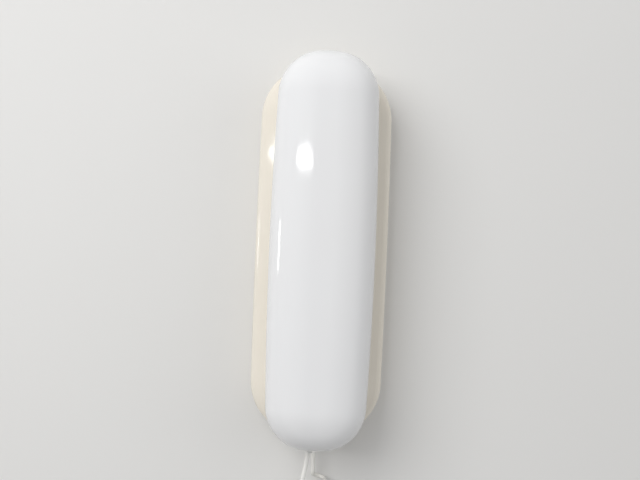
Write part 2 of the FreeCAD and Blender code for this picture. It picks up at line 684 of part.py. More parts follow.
def make_ringer_speaker():
    """The sounder against the back of the well: a rim with a magnet behind it."""
    rim = disc(SPEAKER_RADIUS, WELL_BACK_OUT - SPEAKER_RIM_DEPTH, WELL_BACK_OUT, 0, SPEAKER_CENTRE)
    magnet_from = WELL_BACK_OUT - SPEAKER_DEPTH
    magnet_to = WELL_BACK_OUT - SPEAKER_RIM_DEPTH
    basket = Part.makeCone(SPEAKER_MAGNET_RADIUS, SPEAKER_RADIUS, magnet_to - magnet_from,
                           at(0, magnet_from, SPEAKER_CENTRE), OUTWARD)
    return union([rim, basket])


def make_ringer_switch_body():
    """The slide switch on the board, with the groove that its knob runs in."""
    top = MAIN_BOARD_TOP + RINGER_BODY_DEPTH
    body = block(RINGER_BODY_WIDTH, RINGER_BODY_HEIGHT, MAIN_BOARD_TOP, top, RINGER_ACROSS, RINGER_HEIGHT)
    groove = block(RINGER_STEM_WIDTH + 2 * (RINGER_TRAVEL + RINGER_CLEARANCE),
                   RINGER_STEM_HEIGHT + 2 * RINGER_CLEARANCE,
                   top - RINGER_STEM_ENTRY - RINGER_CLEARANCE, top, RINGER_ACROSS, RINGER_HEIGHT)
    return body.cut(groove)


def make_ringer_switch_knob():
    """The ringer volume knob, whose stem goes through the well's floor into the switch."""
    seat = WELL_FLOOR_OUT + RINGER_CLEARANCE
    cap = rounded_block(RINGER_CAP_WIDTH, RINGER_CAP_HEIGHT, RINGER_CAP_CORNER_RADIUS,
                        seat, seat + RINGER_CAP_DEPTH, RINGER_ACROSS, RINGER_HEIGHT)
    cap = cap.makeChamfer(RINGER_CAP_CORNER_RADIUS / 2, edges_at_depth(cap, seat + RINGER_CAP_DEPTH))
    stem_from = MAIN_BOARD_TOP + RINGER_BODY_DEPTH - RINGER_STEM_ENTRY
    stem = block(RINGER_STEM_WIDTH, RINGER_STEM_HEIGHT, stem_from, seat, RINGER_ACROSS, RINGER_HEIGHT)
    return union([cap, stem])


def make_transformer_core():
    """The line transformer's iron core: a frame round the coil's middle leg."""
    height = TRANSFORMER_LENGTH
    width = TRANSFORMER_WIDTH
    core = block(width, height, MAIN_BOARD_TOP, MAIN_BOARD_TOP + TRANSFORMER_DEPTH,
                 TRANSFORMER_ACROSS, TRANSFORMER_HEIGHT)
    window_width = (width - 3 * TRANSFORMER_LEG) / 2
    window_shift = (TRANSFORMER_LEG + window_width) / 2
    windows = [block(window_width, height, MAIN_BOARD_TOP + TRANSFORMER_LEG / 2,
                     MAIN_BOARD_TOP + TRANSFORMER_DEPTH - TRANSFORMER_LEG / 2,
                     TRANSFORMER_ACROSS + side * window_shift, TRANSFORMER_HEIGHT) for side in (-1, 1)]
    return without(core, windows)


def make_transformer_coil():
    """The line transformer's winding, wound through the core's two windows."""
    window_width = (TRANSFORMER_WIDTH - 3 * TRANSFORMER_LEG) / 2
    width = TRANSFORMER_LEG + 2 * window_width
    length = TRANSFORMER_LENGTH + 2 * TRANSFORMER_COIL_OVERHANG
    out_from = MAIN_BOARD_TOP + TRANSFORMER_LEG / 2
    out_to = MAIN_BOARD_TOP + TRANSFORMER_DEPTH - TRANSFORMER_LEG / 2
    winding = block(width, length, out_from, out_to, TRANSFORMER_ACROSS, TRANSFORMER_HEIGHT)
    leg = block(TRANSFORMER_LEG, TRANSFORMER_LENGTH, out_from, out_to,
                TRANSFORMER_ACROSS, TRANSFORMER_HEIGHT)
    return winding.cut(leg)


def make_board_capacitors():
    """The round capacitors that stand on the board."""
    return Part.makeCompound([disc(CAPACITOR_RADIUS, MAIN_BOARD_TOP, MAIN_BOARD_TOP + CAPACITOR_DEPTH,
                                   across, up) for across, up in CAPACITOR_PLACES])


def terminal_screw_places():
    """The places of the two line terminals' screws."""
    return [(TERMINAL_ACROSS, TERMINAL_HEIGHT + side * TERMINAL_SCREW_PITCH / 2) for side in (-1, 1)]


def make_terminal_block():
    """The block where the line wires end, with a pocket for each screw."""
    top = MAIN_BOARD_TOP + TERMINAL_DEPTH
    body = block(TERMINAL_WIDTH, TERMINAL_LENGTH, MAIN_BOARD_TOP, top, TERMINAL_ACROSS, TERMINAL_HEIGHT)
    pockets = [disc(TERMINAL_SCREW_RADIUS + SCREW_CLEARANCE, top - TERMINAL_SCREW_DEPTH, top, across, up)
               for across, up in terminal_screw_places()]
    return without(body, pockets)


def make_terminal_screws():
    """The slotted screws of the line terminals."""
    top = MAIN_BOARD_TOP + TERMINAL_DEPTH
    screws = []
    for across, up in terminal_screw_places():
        head = disc(TERMINAL_SCREW_RADIUS, top - TERMINAL_SCREW_DEPTH, top, across, up)
        slot = block(2 * TERMINAL_SCREW_RADIUS, TERMINAL_SLOT_WIDTH, top - TERMINAL_SCREW_DEPTH / 2,
                     top, across, up)
        screws.append(head.cut(slot))
    return Part.makeCompound(screws)


def jack(across, seat_out, mouth_up):
    """A cord socket that opens downwards, standing on a wall behind it."""
    body = block(JACK_WIDTH, JACK_LENGTH, seat_out, seat_out + JACK_DEPTH,
                 across, mouth_up + JACK_LENGTH / 2)
    middle = seat_out + JACK_DEPTH / 2
    reach = PLUG_INSERTION + PLUG_CLEARANCE
    cavity = block(PLUG_WIDTH + 2 * PLUG_CLEARANCE, reach, middle - PLUG_DEPTH / 2 - PLUG_CLEARANCE,
                   middle + PLUG_DEPTH / 2 + PLUG_CLEARANCE, across, mouth_up + reach / 2)
    return body.cut(cavity)


def plug(across, middle_out, mouth_up):
    """A cord plug, pushed up into its socket."""
    middle_up = mouth_up + PLUG_INSERTION - PLUG_LENGTH / 2
    return block(PLUG_WIDTH, PLUG_LENGTH, middle_out - PLUG_DEPTH / 2, middle_out + PLUG_DEPTH / 2,
                 across, middle_up)


def base_jack_mouth():
    """The height of the base socket's mouth, just inside the end wall."""
    return -BASE_LENGTH / 2 + BASE_WALL + JACK_END_CLEARANCE


def handset_jack_mouth():
    """The height of the handset socket's mouth, just inside the end wall."""
    end = HANDSET_LENGTH / 2 - taper_inset(INNER_BACK_OUT) - HANDSET_WALL
    return JACK_END_CLEARANCE - end


def make_inner_shell():
    """The handset's inner shell: a tapered tray with the two cups, key holes and posts."""
    tray = handset_taper(0, INNER_FACE_OUT, PARTING_OUT)
    tray = tray.makeChamfer(INNER_FACE_EDGE, edges_at_depth(tray, INNER_FACE_OUT))
    hollow = handset_taper(HANDSET_WALL, INNER_BACK_OUT, PARTING_OUT + OVERRUN)
    lip = HANDSET.prism(HANDSET_WALL - LIP_THICKNESS, PARTING_OUT - LIP_DEPTH, PARTING_OUT + LIP_DEPTH)
    lip_hollow = HANDSET.prism(HANDSET_WALL, PARTING_OUT - LIP_DEPTH, PARTING_OUT + LIP_DEPTH)
    solids = [tray, lip.cut(lip_hollow)]
    hollows = [hollow]
    collars = []
    for rim_radius, up, face_out in ((EAR_CUP_RADIUS, EAR_HEIGHT, EAR_FACE_OUT),
                                     (MOUTH_CUP_RADIUS, MOUTH_HEIGHT, MOUTH_FACE_OUT)):
        bowl = cup(rim_radius, up, face_out, INNER_BACK_OUT, 0)
        solids.append(bowl.makeChamfer(CUP_FACE_EDGE, edges_at_depth(bowl, face_out)))
        hollows.append(cup(rim_radius, up, face_out + HANDSET_WALL, INNER_BACK_OUT, -HANDSET_WALL))
    collar_radius = RECEIVER_RADIUS + RECEIVER_CLEARANCE
    collars.append(ring(collar_radius + COLLAR_THICKNESS, collar_radius, EAR_FACE_OUT + HANDSET_WALL,
                        receiver_back_out(), 0, EAR_HEIGHT))
    boot_radius = TRANSMITTER_RADIUS + BOOT_THICKNESS + RECEIVER_CLEARANCE
    boot_from = MOUTH_FACE_OUT + HANDSET_WALL
    collars.append(ring(boot_radius + COLLAR_THICKNESS, boot_radius, boot_from,
                        boot_from + BOOT_COLLAR_DEPTH, 0, MOUTH_HEIGHT))
    posts = [disc(HANDSET_POST_RADIUS, INNER_FACE_OUT + HANDSET_WALL / 2, PARTING_OUT, across, up)
             for across, up in handset_screw_places()]
    posts += [disc(KEYPAD_POST_RADIUS, INNER_FACE_OUT + HANDSET_WALL / 2, KEYPAD_BOARD_OUT, across, up)
              for across, up in keypad_post_places()]
    body = without(union(solids), hollows)
    body = union([body] + collars + posts)
    return without(body, inner_shell_openings())


def inner_shell_openings():
    """The holes through the inner shell: sound, keys, screws, hanger slot and cord window."""
    cuts = sound_holes(EAR_HOLE_RING_RADIUS, EAR_HOLE_COUNT, EAR_FACE_OUT,
                       EAR_FACE_OUT + HANDSET_WALL, EAR_HEIGHT)
    cuts += sound_holes(MOUTH_HOLE_RING_RADIUS, MOUTH_HOLE_COUNT, MOUTH_FACE_OUT,
                        MOUTH_FACE_OUT + HANDSET_WALL, MOUTH_HEIGHT)
    for _, across, up in key_places():
        cuts.append(rounded_block(KEY_WIDTH + 2 * KEY_CLEARANCE, KEY_HEIGHT + 2 * KEY_CLEARANCE,
                                  KEY_CORNER_RADIUS + KEY_CLEARANCE, INNER_FACE_OUT, INNER_BACK_OUT,
                                  across, up))
    for across, up in handset_screw_places():
        cuts.append(disc(HANDSET_SCREW[0] + SCREW_CLEARANCE, INNER_FACE_OUT, INNER_BACK_OUT, across, up))
        cuts.append(disc(HANDSET_SCREW[2] + SCREW_CLEARANCE, INNER_BACK_OUT, PARTING_OUT, across, up))
    for across, up in keypad_post_places():
        cuts.append(disc(BOARD_SCREW[2] + SCREW_PILOT_CLEARANCE, INNER_BACK_OUT, KEYPAD_BOARD_OUT,
                         across, up))
    cuts.append(tab_blade(TAB_HANG_CLEARANCE, BASE_DEPTH, PARTING_OUT))
    window_top = handset_jack_mouth()
    window_bottom = -HANDSET_LENGTH / 2 - OVERRUN
    cuts.append(block(PLUG_WIDTH + 2 * PLUG_CLEARANCE, window_top - window_bottom,
                      HANDSET_CORD_OUT - PLUG_DEPTH / 2 - PLUG_CLEARANCE,
                      HANDSET_CORD_OUT + PLUG_DEPTH / 2 + PLUG_CLEARANCE,
                      HANDSET_CORD_ACROSS, (window_top + window_bottom) / 2))
    return cuts


def make_outer_shell():
    """The handset's white back: a domed shell with a rebate for the lip and screw bosses."""
    outer = handset_dome(0, PARTING_OUT)
    hollow = handset_dome(HANDSET_WALL, PARTING_OUT - OVERRUN)
    rebate = HANDSET.prism(HANDSET_WALL - LIP_THICKNESS - LIP_CLEARANCE, PARTING_OUT,
                           PARTING_OUT + LIP_DEPTH + LIP_CLEARANCE)
    bosses = [disc(HANDSET_POST_RADIUS, PARTING_OUT, CROWN_OUT, across, up).common(outer)
              for across, up in handset_screw_places()]
    pilot_depth = HANDSET_SCREW[3] - (PARTING_OUT - INNER_BACK_OUT)
    pilots = [disc(HANDSET_SCREW[2] + SCREW_PILOT_CLEARANCE, PARTING_OUT,
                   PARTING_OUT + pilot_depth + SCREW_CLEARANCE, across, up)
              for across, up in handset_screw_places()]
    shell = outer.cut(hollow).cut(rebate)
    return without(union([shell] + bosses), pilots)


def make_handset_screws():
    """The four screws that hold the handset's shells together."""
    return Part.makeCompound([screw(HANDSET_SCREW, INNER_BACK_OUT, across, up, False)
                              for across, up in handset_screw_places()])


def receiver_front_out():
    """The depth where the receiver capsule meets its gasket."""
    return EAR_FACE_OUT + HANDSET_WALL + GASKET_THICKNESS


def receiver_back_out():
    """The depth of the receiver flange's back, level with its collar."""
    return receiver_front_out() + RECEIVER_FLANGE_DEPTH


def make_receiver_capsule():
    """The receiver: a wide flange with a narrower body behind it."""
    front = receiver_front_out()
    flange = disc(RECEIVER_RADIUS, front, receiver_back_out(), 0, EAR_HEIGHT)
    body = disc(RECEIVER_BODY_RADIUS, front, front + RECEIVER_DEPTH, 0, EAR_HEIGHT)
    return union([flange, body])


def make_receiver_gasket():
    """The soft ring between the receiver and the ear cup."""
    front = EAR_FACE_OUT + HANDSET_WALL
    return ring(RECEIVER_RADIUS, RECEIVER_RADIUS - GASKET_WIDTH, front, receiver_front_out(), 0, EAR_HEIGHT)


def make_receiver_retainer():
    """The ring that sits on the collar and keeps the receiver in it."""
    back = receiver_back_out()
    radius = RECEIVER_RADIUS + RECEIVER_CLEARANCE + COLLAR_THICKNESS
    return ring(radius, RECEIVER_RADIUS - RETAINER_OVERLAP, back, back + RETAINER_THICKNESS, 0, EAR_HEIGHT)


def transmitter_front_out():
    """The depth of the transmitter's front, inside its boot."""
    return MOUTH_FACE_OUT + HANDSET_WALL + BOOT_FLOOR


def make_transmitter_capsule():
    """The small round microphone."""
    front = transmitter_front_out()
    return disc(TRANSMITTER_RADIUS, front, front + TRANSMITTER_DEPTH, 0, MOUTH_HEIGHT)


def make_transmitter_boot():
    """The rubber cup round the microphone, open towards the sound holes."""
    front = MOUTH_FACE_OUT + HANDSET_WALL
    back = transmitter_front_out() + TRANSMITTER_DEPTH
    body = disc(TRANSMITTER_RADIUS + BOOT_THICKNESS, front, back, 0, MOUTH_HEIGHT)
    pocket = disc(TRANSMITTER_RADIUS, transmitter_front_out(), back, 0, MOUTH_HEIGHT)
    opening = disc(TRANSMITTER_RADIUS - BOOT_FLOOR, front, transmitter_front_out(), 0, MOUTH_HEIGHT)
    return without(body, [pocket, opening])


def make_ballast_weight():
    """The steel weight that follows the roof of the outer shell."""
    roof = CROWN_OUT - HANDSET_WALL - BALLAST_CLEARANCE
    bar = rounded_block(BALLAST_WIDTH, BALLAST_LENGTH, BALLAST_CORNER_RADIUS, roof - BALLAST_DEPTH, roof)
    return bar.common(handset_dome(HANDSET_WALL + BALLAST_CLEARANCE, PARTING_OUT))


def make_keypad_board():
    """The circuit board behind the keys."""
    width = 2 * (KEYPAD_POST_ACROSS + KEYPAD_BOARD_MARGIN)
    height = 2 * (KEYPAD_POST_UP + KEYPAD_BOARD_MARGIN)
    back = KEYPAD_BOARD_OUT + BOARD_THICKNESS
    board = rounded_block(width, height, KEYPAD_BOARD_MARGIN, KEYPAD_BOARD_OUT, back, 0, KEYPAD_CENTRE)
    holes = [disc(BOARD_SCREW[2] + SCREW_CLEARANCE, KEYPAD_BOARD_OUT, back, across, up)
             for across, up in keypad_post_places()]
    return without(board, holes)


def make_keypad_screws():
    """The screws that hold the keypad board to its posts."""
    seat = KEYPAD_BOARD_OUT + BOARD_THICKNESS
    return Part.makeCompound([screw(BOARD_SCREW, seat, across, up, True)
                              for across, up in keypad_post_places()])


def make_keypad_mat():
    """The rubber mat on the board, with a pad that pushes each key back."""
    sheet = rounded_block(KEY_FIELD_WIDTH, KEY_FIELD_HEIGHT, MAT_CORNER_RADIUS,
                          MAT_OUT, KEYPAD_BOARD_OUT, 0, KEYPAD_CENTRE)
    pads = [block(MAT_PAD_WIDTH, MAT_PAD_HEIGHT, MAT_PAD_OUT, MAT_OUT, across, up)
            for _, across, up in key_places()]
    return union([sheet] + pads)


def make_key(across, up):
    """A key: a cap that stands proud of the face, with a flange behind it."""
    front = INNER_FACE_OUT - KEY_PROUD
    cap = rounded_block(KEY_WIDTH, KEY_HEIGHT, KEY_CORNER_RADIUS, front, KEY_BACK_OUT, across, up)
    cap = cap.makeChamfer(KEY_EDGE, edges_at_depth(cap, front))
    flange = block(KEY_WIDTH + 2 * KEY_FLANGE_MARGIN, KEY_HEIGHT + 2 * KEY_FLANGE_MARGIN,
                   KEY_FLANGE_OUT, KEY_BACK_OUT, across, up)
    return union([cap, flange])


def cord_path(points):
    """A path of straight runs joined by the largest arcs that the runs allow, and its radii."""
    edges = []
    radii = []
    start = points[0]
    for before, corner, after in zip(points, points[1:], points[2:]):
        towards = (corner - before).normalize()
        onwards = (after - corner).normalize()
        cut_back = 0.45 * min((corner - before).Length, (after - corner).Length)
        turn = towards.getAngle(onwards)
        radius = cut_back / math.tan(turn / 2)
        arc_start = corner - towards * cut_back
        arc_end = corner + onwards * cut_back
        inward = (onwards - towards).normalize()
        middle = corner + inward * (radius / math.cos(turn / 2) - radius)
        edges.append(Part.LineSegment(start, arc_start).toShape())
        edges.append(Part.Arc(arc_start, middle, arc_end).toShape())
        radii.append(radius)
        start = arc_end
    edges.append(Part.LineSegment(start, points[-1]).toShape())
    return Part.Wire(edges), radii


def cord_tube(name, points, diameter):
    """A round tube along a path, with its bends and its volume reported."""
    path, radii = cord_path(points)
    heading = (points[1] - points[0]).normalize()
    section = Part.Wire(Part.makeCircle(diameter / 2, points[0], heading))
    tube = path.makePipeShell([section], True, True)
    expected = math.pi * diameter ** 2 / 4 * path.Length
    bends = ", ".join("%.1f" % radius for radius in radii)
    print("%s: length %.1f, radii %s, volume ratio %.4f"
          % (name, path.Length, bends, tube.Volume / expected))
    return tube


def make_cord_nodes():
    """The cord's two plugs, its two straight tails and the outer shape of its curls."""
    base_end = base_jack_mouth() + PLUG_INSERTION - PLUG_LENGTH
    handset_end = handset_jack_mouth() + PLUG_INSERTION - PLUG_LENGTH
    base_tail = [at(BASE_CORD_ACROSS, BASE_CORD_OUT, base_end),
                 at(BASE_CORD_ACROSS, BASE_CORD_OUT, COIL_START_UP)]
    handset_tail = [at(HANDSET_CORD_ACROSS, HANDSET_CORD_OUT, handset_end)]
    handset_tail += [at(*point) for point in HANDSET_TAIL_POINTS]
    coil_axis = BASE_CORD_ACROSS + (COIL_DIAMETER - STRAND_DIAMETER) / 2
    coil = [at(coil_axis, BASE_CORD_OUT, COIL_START_UP)]
    coil += [at(*point) for point in COIL_POINTS]
    return {
        "base_cord_plug": plug(BASE_CORD_ACROSS, BASE_CORD_OUT, base_jack_mouth()),
        "handset_cord_plug": plug(HANDSET_CORD_ACROSS, HANDSET_CORD_OUT, handset_jack_mouth()),
        "cord_base_tail": cord_tube("cord_base_tail", base_tail, STRAND_DIAMETER),
        "cord_handset_tail": cord_tube("cord_handset_tail", handset_tail, STRAND_DIAMETER),
        "cord_coil": cord_tube("cord_coil", coil, COIL_DIAMETER),
    }


def make_nodes():
    """Every node of the telephone by name."""
    nodes = {
        "back_plate": make_back_plate(),
        "base_cover": make_base_cover(),
        "cover_screws": make_cover_screws(),
        "hanger_tab": make_hanger_tab(),
        "main_board": make_main_board(),
        "board_screws": make_board_screws(),
        "hook_switch": make_hook_switch(),
        "hook_spring": make_hook_spring(),
        "hook_plunger": make_hook_plunger(),
        "ringer_speaker": make_ringer_speaker(),
        "ringer_switch_body": make_ringer_switch_body(),
        "ringer_switch_knob": make_ringer_switch_knob(),
        "transformer_core": make_transformer_core(),
        "transformer_coil": make_transformer_coil(),
        "board_capacitors": make_board_capacitors(),
        "terminal_block": make_terminal_block(),
        "terminal_screws": make_terminal_screws(),
        "base_cord_jack": jack(BASE_CORD_ACROSS, BACK_PLATE_THICKNESS, base_jack_mouth()),
        "handset_outer_shell": make_outer_shell(),
        "handset_inner_shell": make_inner_shell(),
        "handset_screws": make_handset_screws(),
        "receiver_capsule": make_receiver_capsule(),
        "receiver_gasket": make_receiver_gasket(),
        "receiver_retainer": make_receiver_retainer(),
        "transmitter_capsule": make_transmitter_capsule(),
        "transmitter_boot": make_transmitter_boot(),
        "ballast_weight": make_ballast_weight(),
        "keypad_board": make_keypad_board(),
        "keypad_screws": make_keypad_screws(),
        "keypad_mat": make_keypad_mat(),
        "handset_cord_jack": jack(HANDSET_CORD_ACROSS, INNER_BACK_OUT, handset_jack_mouth()),
    }
    for name, across, up in key_places():
        nodes[name] = make_key(across, up)
    nodes.update(make_cord_nodes())
    return nodes


def main():
    """Write each node to its own file."""
    os.makedirs("parts", exist_ok=True)
    for name, shape in make_nodes().items():
        shape.exportStep("parts/" + name + ".step")


main()
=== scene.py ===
"""Dresses a slim wall telephone: moulded shells, printed keys, curly cord, wall and light."""
import json
import logging
import math
from dataclasses import dataclass, field
from enum import Enum

import bmesh
import bpy
from mathutils import Matrix, Quaternion, Vector

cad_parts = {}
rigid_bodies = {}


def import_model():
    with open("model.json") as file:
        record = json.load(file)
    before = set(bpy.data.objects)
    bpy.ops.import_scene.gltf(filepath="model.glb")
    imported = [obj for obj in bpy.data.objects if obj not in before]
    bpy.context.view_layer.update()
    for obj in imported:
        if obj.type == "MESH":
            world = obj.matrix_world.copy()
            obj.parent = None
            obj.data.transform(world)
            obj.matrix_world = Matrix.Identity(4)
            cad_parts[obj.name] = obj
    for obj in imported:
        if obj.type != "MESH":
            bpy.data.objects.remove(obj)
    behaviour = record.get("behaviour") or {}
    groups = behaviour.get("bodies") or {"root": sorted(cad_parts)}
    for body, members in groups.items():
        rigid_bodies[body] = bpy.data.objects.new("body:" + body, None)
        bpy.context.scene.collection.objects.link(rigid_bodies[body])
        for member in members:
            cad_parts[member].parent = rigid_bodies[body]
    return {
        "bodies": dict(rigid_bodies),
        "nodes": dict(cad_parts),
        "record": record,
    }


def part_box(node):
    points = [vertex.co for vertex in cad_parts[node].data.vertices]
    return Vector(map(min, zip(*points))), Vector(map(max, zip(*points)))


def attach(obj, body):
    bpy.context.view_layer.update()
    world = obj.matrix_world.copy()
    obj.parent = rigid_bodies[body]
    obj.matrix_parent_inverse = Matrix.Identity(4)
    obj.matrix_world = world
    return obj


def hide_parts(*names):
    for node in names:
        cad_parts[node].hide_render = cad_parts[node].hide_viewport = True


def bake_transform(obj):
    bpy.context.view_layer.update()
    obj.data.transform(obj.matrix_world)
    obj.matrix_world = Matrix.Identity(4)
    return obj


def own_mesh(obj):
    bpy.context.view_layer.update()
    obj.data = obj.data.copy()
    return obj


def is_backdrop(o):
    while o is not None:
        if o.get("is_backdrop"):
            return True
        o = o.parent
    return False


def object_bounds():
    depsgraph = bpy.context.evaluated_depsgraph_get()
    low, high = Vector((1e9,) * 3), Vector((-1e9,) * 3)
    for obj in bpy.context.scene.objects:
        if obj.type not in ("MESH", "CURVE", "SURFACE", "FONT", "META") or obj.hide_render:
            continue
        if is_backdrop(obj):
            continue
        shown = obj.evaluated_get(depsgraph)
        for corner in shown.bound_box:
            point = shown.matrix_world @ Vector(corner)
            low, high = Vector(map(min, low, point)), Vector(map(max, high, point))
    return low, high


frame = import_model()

LOG = logging.getLogger("wall_telephone")
Triple = tuple[float, float, float]
UNSTRETCHED = (1.0, 1.0, 1.0)
OPAQUE = 1.0
NOISE_ROUGHNESS = 0.55
MIX_FIRST, MIX_SECOND, MIX_RESULT = 6, 7, 2  # a Mix node's sockets for colours
ROUND_PROFILE = 0.5
ALONG_AXIS = 0.99  # the least share of an edge's direction that lies along its axis
LEVEL = 1e-6  # the ends of a level edge are closer in height than this, in metres
HANDSET_SCREW_HEAD_RADIUS = 0.0029
# Turns flat text so that it faces the wall and reads from there.
FACING_WALL = Matrix(((-1.0, 0.0, 0.0), (0.0, 0.0, 1.0), (0.0, 1.0, 0.0))).to_4x4()


class Body(str, Enum):
    """The bodies of the telephone that carry new pieces."""

    BASE = "base"
    HANDSET = "handset"


class Slot(str, Enum):
    """The record's material slots."""

    SHELL = "handset_white"
    COVER = "base_ivory"
    PLATE = "plate_ivory"
    KEY = "key_white"
    KNOB = "knob_ivory"
    CORD = "cord_white"
    PLUG = "plug_plastic"
    SCREW = "screw_steel"
    WEIGHT = "weight_steel"
    BOARD = "board_green"
    INK = "black_plastic"
    SPEAKER = "speaker_black"
    CORE = "core_iron"
    COIL = "coil_copper"
    CAPACITOR = "capacitor_can"
    TERMINAL = "terminal_brass"
    RUBBER = "soft_rubber"


class LampShape(str, Enum):
    """The outlines that a lamp can have."""

    RECTANGLE = "RECTANGLE"
    ELLIPSE = "ELLIPSE"


class Value:
    """One output of a shader graph, with arithmetic that adds Math nodes."""

    def __init__(self, graph: "Graph", socket: bpy.types.NodeSocket) -> None:
        """Keep the graph and the socket.

        Args:
            graph: the graph that the socket belongs to.
            socket: the output socket.
        """
        self.graph = graph
        self.socket = socket

    def __add__(self, other: "Value | float") -> "Value":
        """The sum of this and another value."""
        return self.graph.math("ADD", self, other)

    def __mul__(self, other: "Value | float") -> "Value":
        """The product of this and another value."""
        return self.graph.math("MULTIPLY", self, other)

    def __rsub__(self, other: float) -> "Value":
        """A number less this value."""
        return self.graph.math("SUBTRACT", other, self)


@dataclass(frozen=True)
class Relief:
    """How strongly a height shows in a surface's normal, and its depth in metres."""

    strength: float
    depth: float


class Graph:
    """The node tree of one material, or of the world."""

    def __init__(self, owner: bpy.types.Material | bpy.types.World) -> None:
        """Empty the node tree.

        Args:
            owner: the material or world.
        """
        self.owner = owner
        owner.use_nodes = True
        self.tree = owner.node_tree
        self.tree.nodes.clear()

    def feed(self, socket: bpy.types.NodeSocket, value: object) -> None:
        """Link a value to a socket, or set the socket to a number or colour.

        Args:
            socket: the input socket.
            value: a Value to link, or a plain value to set.
        """
        if isinstance(value, Value):
            self.tree.links.new(value.socket, socket)
        else:
            socket.default_value = value

    def node(self, kind: str, settings: dict | None = None, sockets: dict | None = None,
             output: int | str = 0) -> Value:
        """Add a node.

        Args:
            kind: the node's type.
            settings: its settings, set first; stops gives a ramp's places and greys.
            sockets: the values or links of its inputs, by name or number.
            output: which output to return.

        Returns:
            The chosen output.
        """
        made = self.tree.nodes.new(kind)
        for name, value in (settings or {}).items():
            if name == "stops":
                for element, (place, grey) in zip(made.color_ramp.elements, value):
                    element.position = place
                    element.color = (grey, grey, grey, OPAQUE)
            else:
                setattr(made, name, value)
        for name, value in (sockets or {}).items():
            self.feed(made.inputs[name], value)
        return Value(self, made.outputs[output])

    def math(self, operation: str, first: Value | float, second: Value | float) -> Value:
        """Join two values by a Math node.

        Args:
            operation: the Math node's operation.
            first: the first value or number.
            second: the second value or number.

        Returns:
            The node's output.
        """
        return self.node("ShaderNodeMath", {"operation": operation}, {0: first, 1: second})

    def place(self, stretch: Triple = UNSTRETCHED) -> Value:
        """The object's own coordinates, stretched along its axes.

        Args:
            stretch: the factor along each axis.

        Returns:
            The coordinates.
        """
        own = self.node("ShaderNodeTexCoord", output="Object")
        return self.node("ShaderNodeMapping", {}, {"Vector": own, "Scale": stretch})

    def noise(self, scale: float, detail: float, stretch: Triple) -> Value:
        """Soft noise on the object's own coordinates.

        Args:
            scale: features per metre.
            detail: how many finer layers it has.
            stretch: the factor along each axis.

        Returns:
            The noise, about 0 to 1.
        """
        return self.node("ShaderNodeTexNoise", {}, {
            "Vector": self.place(stretch), "Scale": scale, "Detail": detail, "Roughness": NOISE_ROUGHNESS})

    def ramp(self, value: Value, low: float, high: float) -> Value:
        """Spread part of a value's range over 0 to 1.

        Args:
            value: the value.
            low: what becomes 0.
            high: what becomes 1.

        Returns:
            The spread value.
        """
        return self.node("ShaderNodeValToRGB", {"stops": ((low, 0.0), (high, 1.0))}, {"Fac": value})

    def mix(self, share: Value, first: Triple, second: Triple) -> Value:
        """A colour between two colours.

        Args:
            share: how much of the second colour shows.
            first: the first colour.
            second: the second colour.

        Returns:
            The mixed colour.
        """
        return self.node("ShaderNodeMix", {"data_type": "RGBA"}, {
            "Factor": share, MIX_FIRST: (*first, OPAQUE), MIX_SECOND: (*second, OPAQUE)}, MIX_RESULT)

    def bump(self, height: Value, relief: Relief) -> Value:
        """A surface normal disturbed by a height.

        Args:
            height: the height, about 0 to 1.
            relief: how it shows.

        Returns:
            The normal.
        """
        return self.node("ShaderNodeBump", {}, {
            "Strength": relief.strength, "Distance": relief.depth, "Height": height})

    def surface(self, **sockets: object) -> Value:
        """A Principled shader.

        Args:
            sockets: the shader's inputs, with underscores for spaces.

        Returns:
            The shader.
        """
        named = {name.replace("_", " "): value for name, value in sockets.items()}
        return self.node("ShaderNodeBsdfPrincipled", {}, named)

    def end(self, shader: Value,
            kind: str = "ShaderNodeOutputMaterial") -> bpy.types.Material | bpy.types.World:
        """Join a shader to the tree's output.

        Args:
            shader: the shader's output.
            kind: the output node's type.

        Returns:
            The finished material or world.
        """
        self.feed(self.tree.nodes.new(kind).inputs["Surface"], shader)
        return self.owner


@dataclass(frozen=True)
class Pattern:
    """A layer of noise on a finish, and the part of its range that is spread over 0 to 1."""

    scale: float
    detail: float
    stretch: Triple = UNSTRETCHED
    spread: tuple[float, float] | None = None

    def draw(self, graph: Graph) -> Value:
        """Add the layer to a graph."""
        noise = graph.noise(self.scale, self.detail, self.stretch)
        return graph.ramp(noise, *self.spread) if self.spread else noise


@dataclass(frozen=True)
class Finish:
    """The look of one material."""

    name: str

    def build(self) -> bpy.types.Material:
        """Make the material."""
        graph = Graph(bpy.data.materials.new(self.name))
        return graph.end(self.shader(graph))

    def shader(self, graph: Graph) -> Value:
        """Add the finish's nodes to a graph and give its shader."""
        raise NotImplementedError


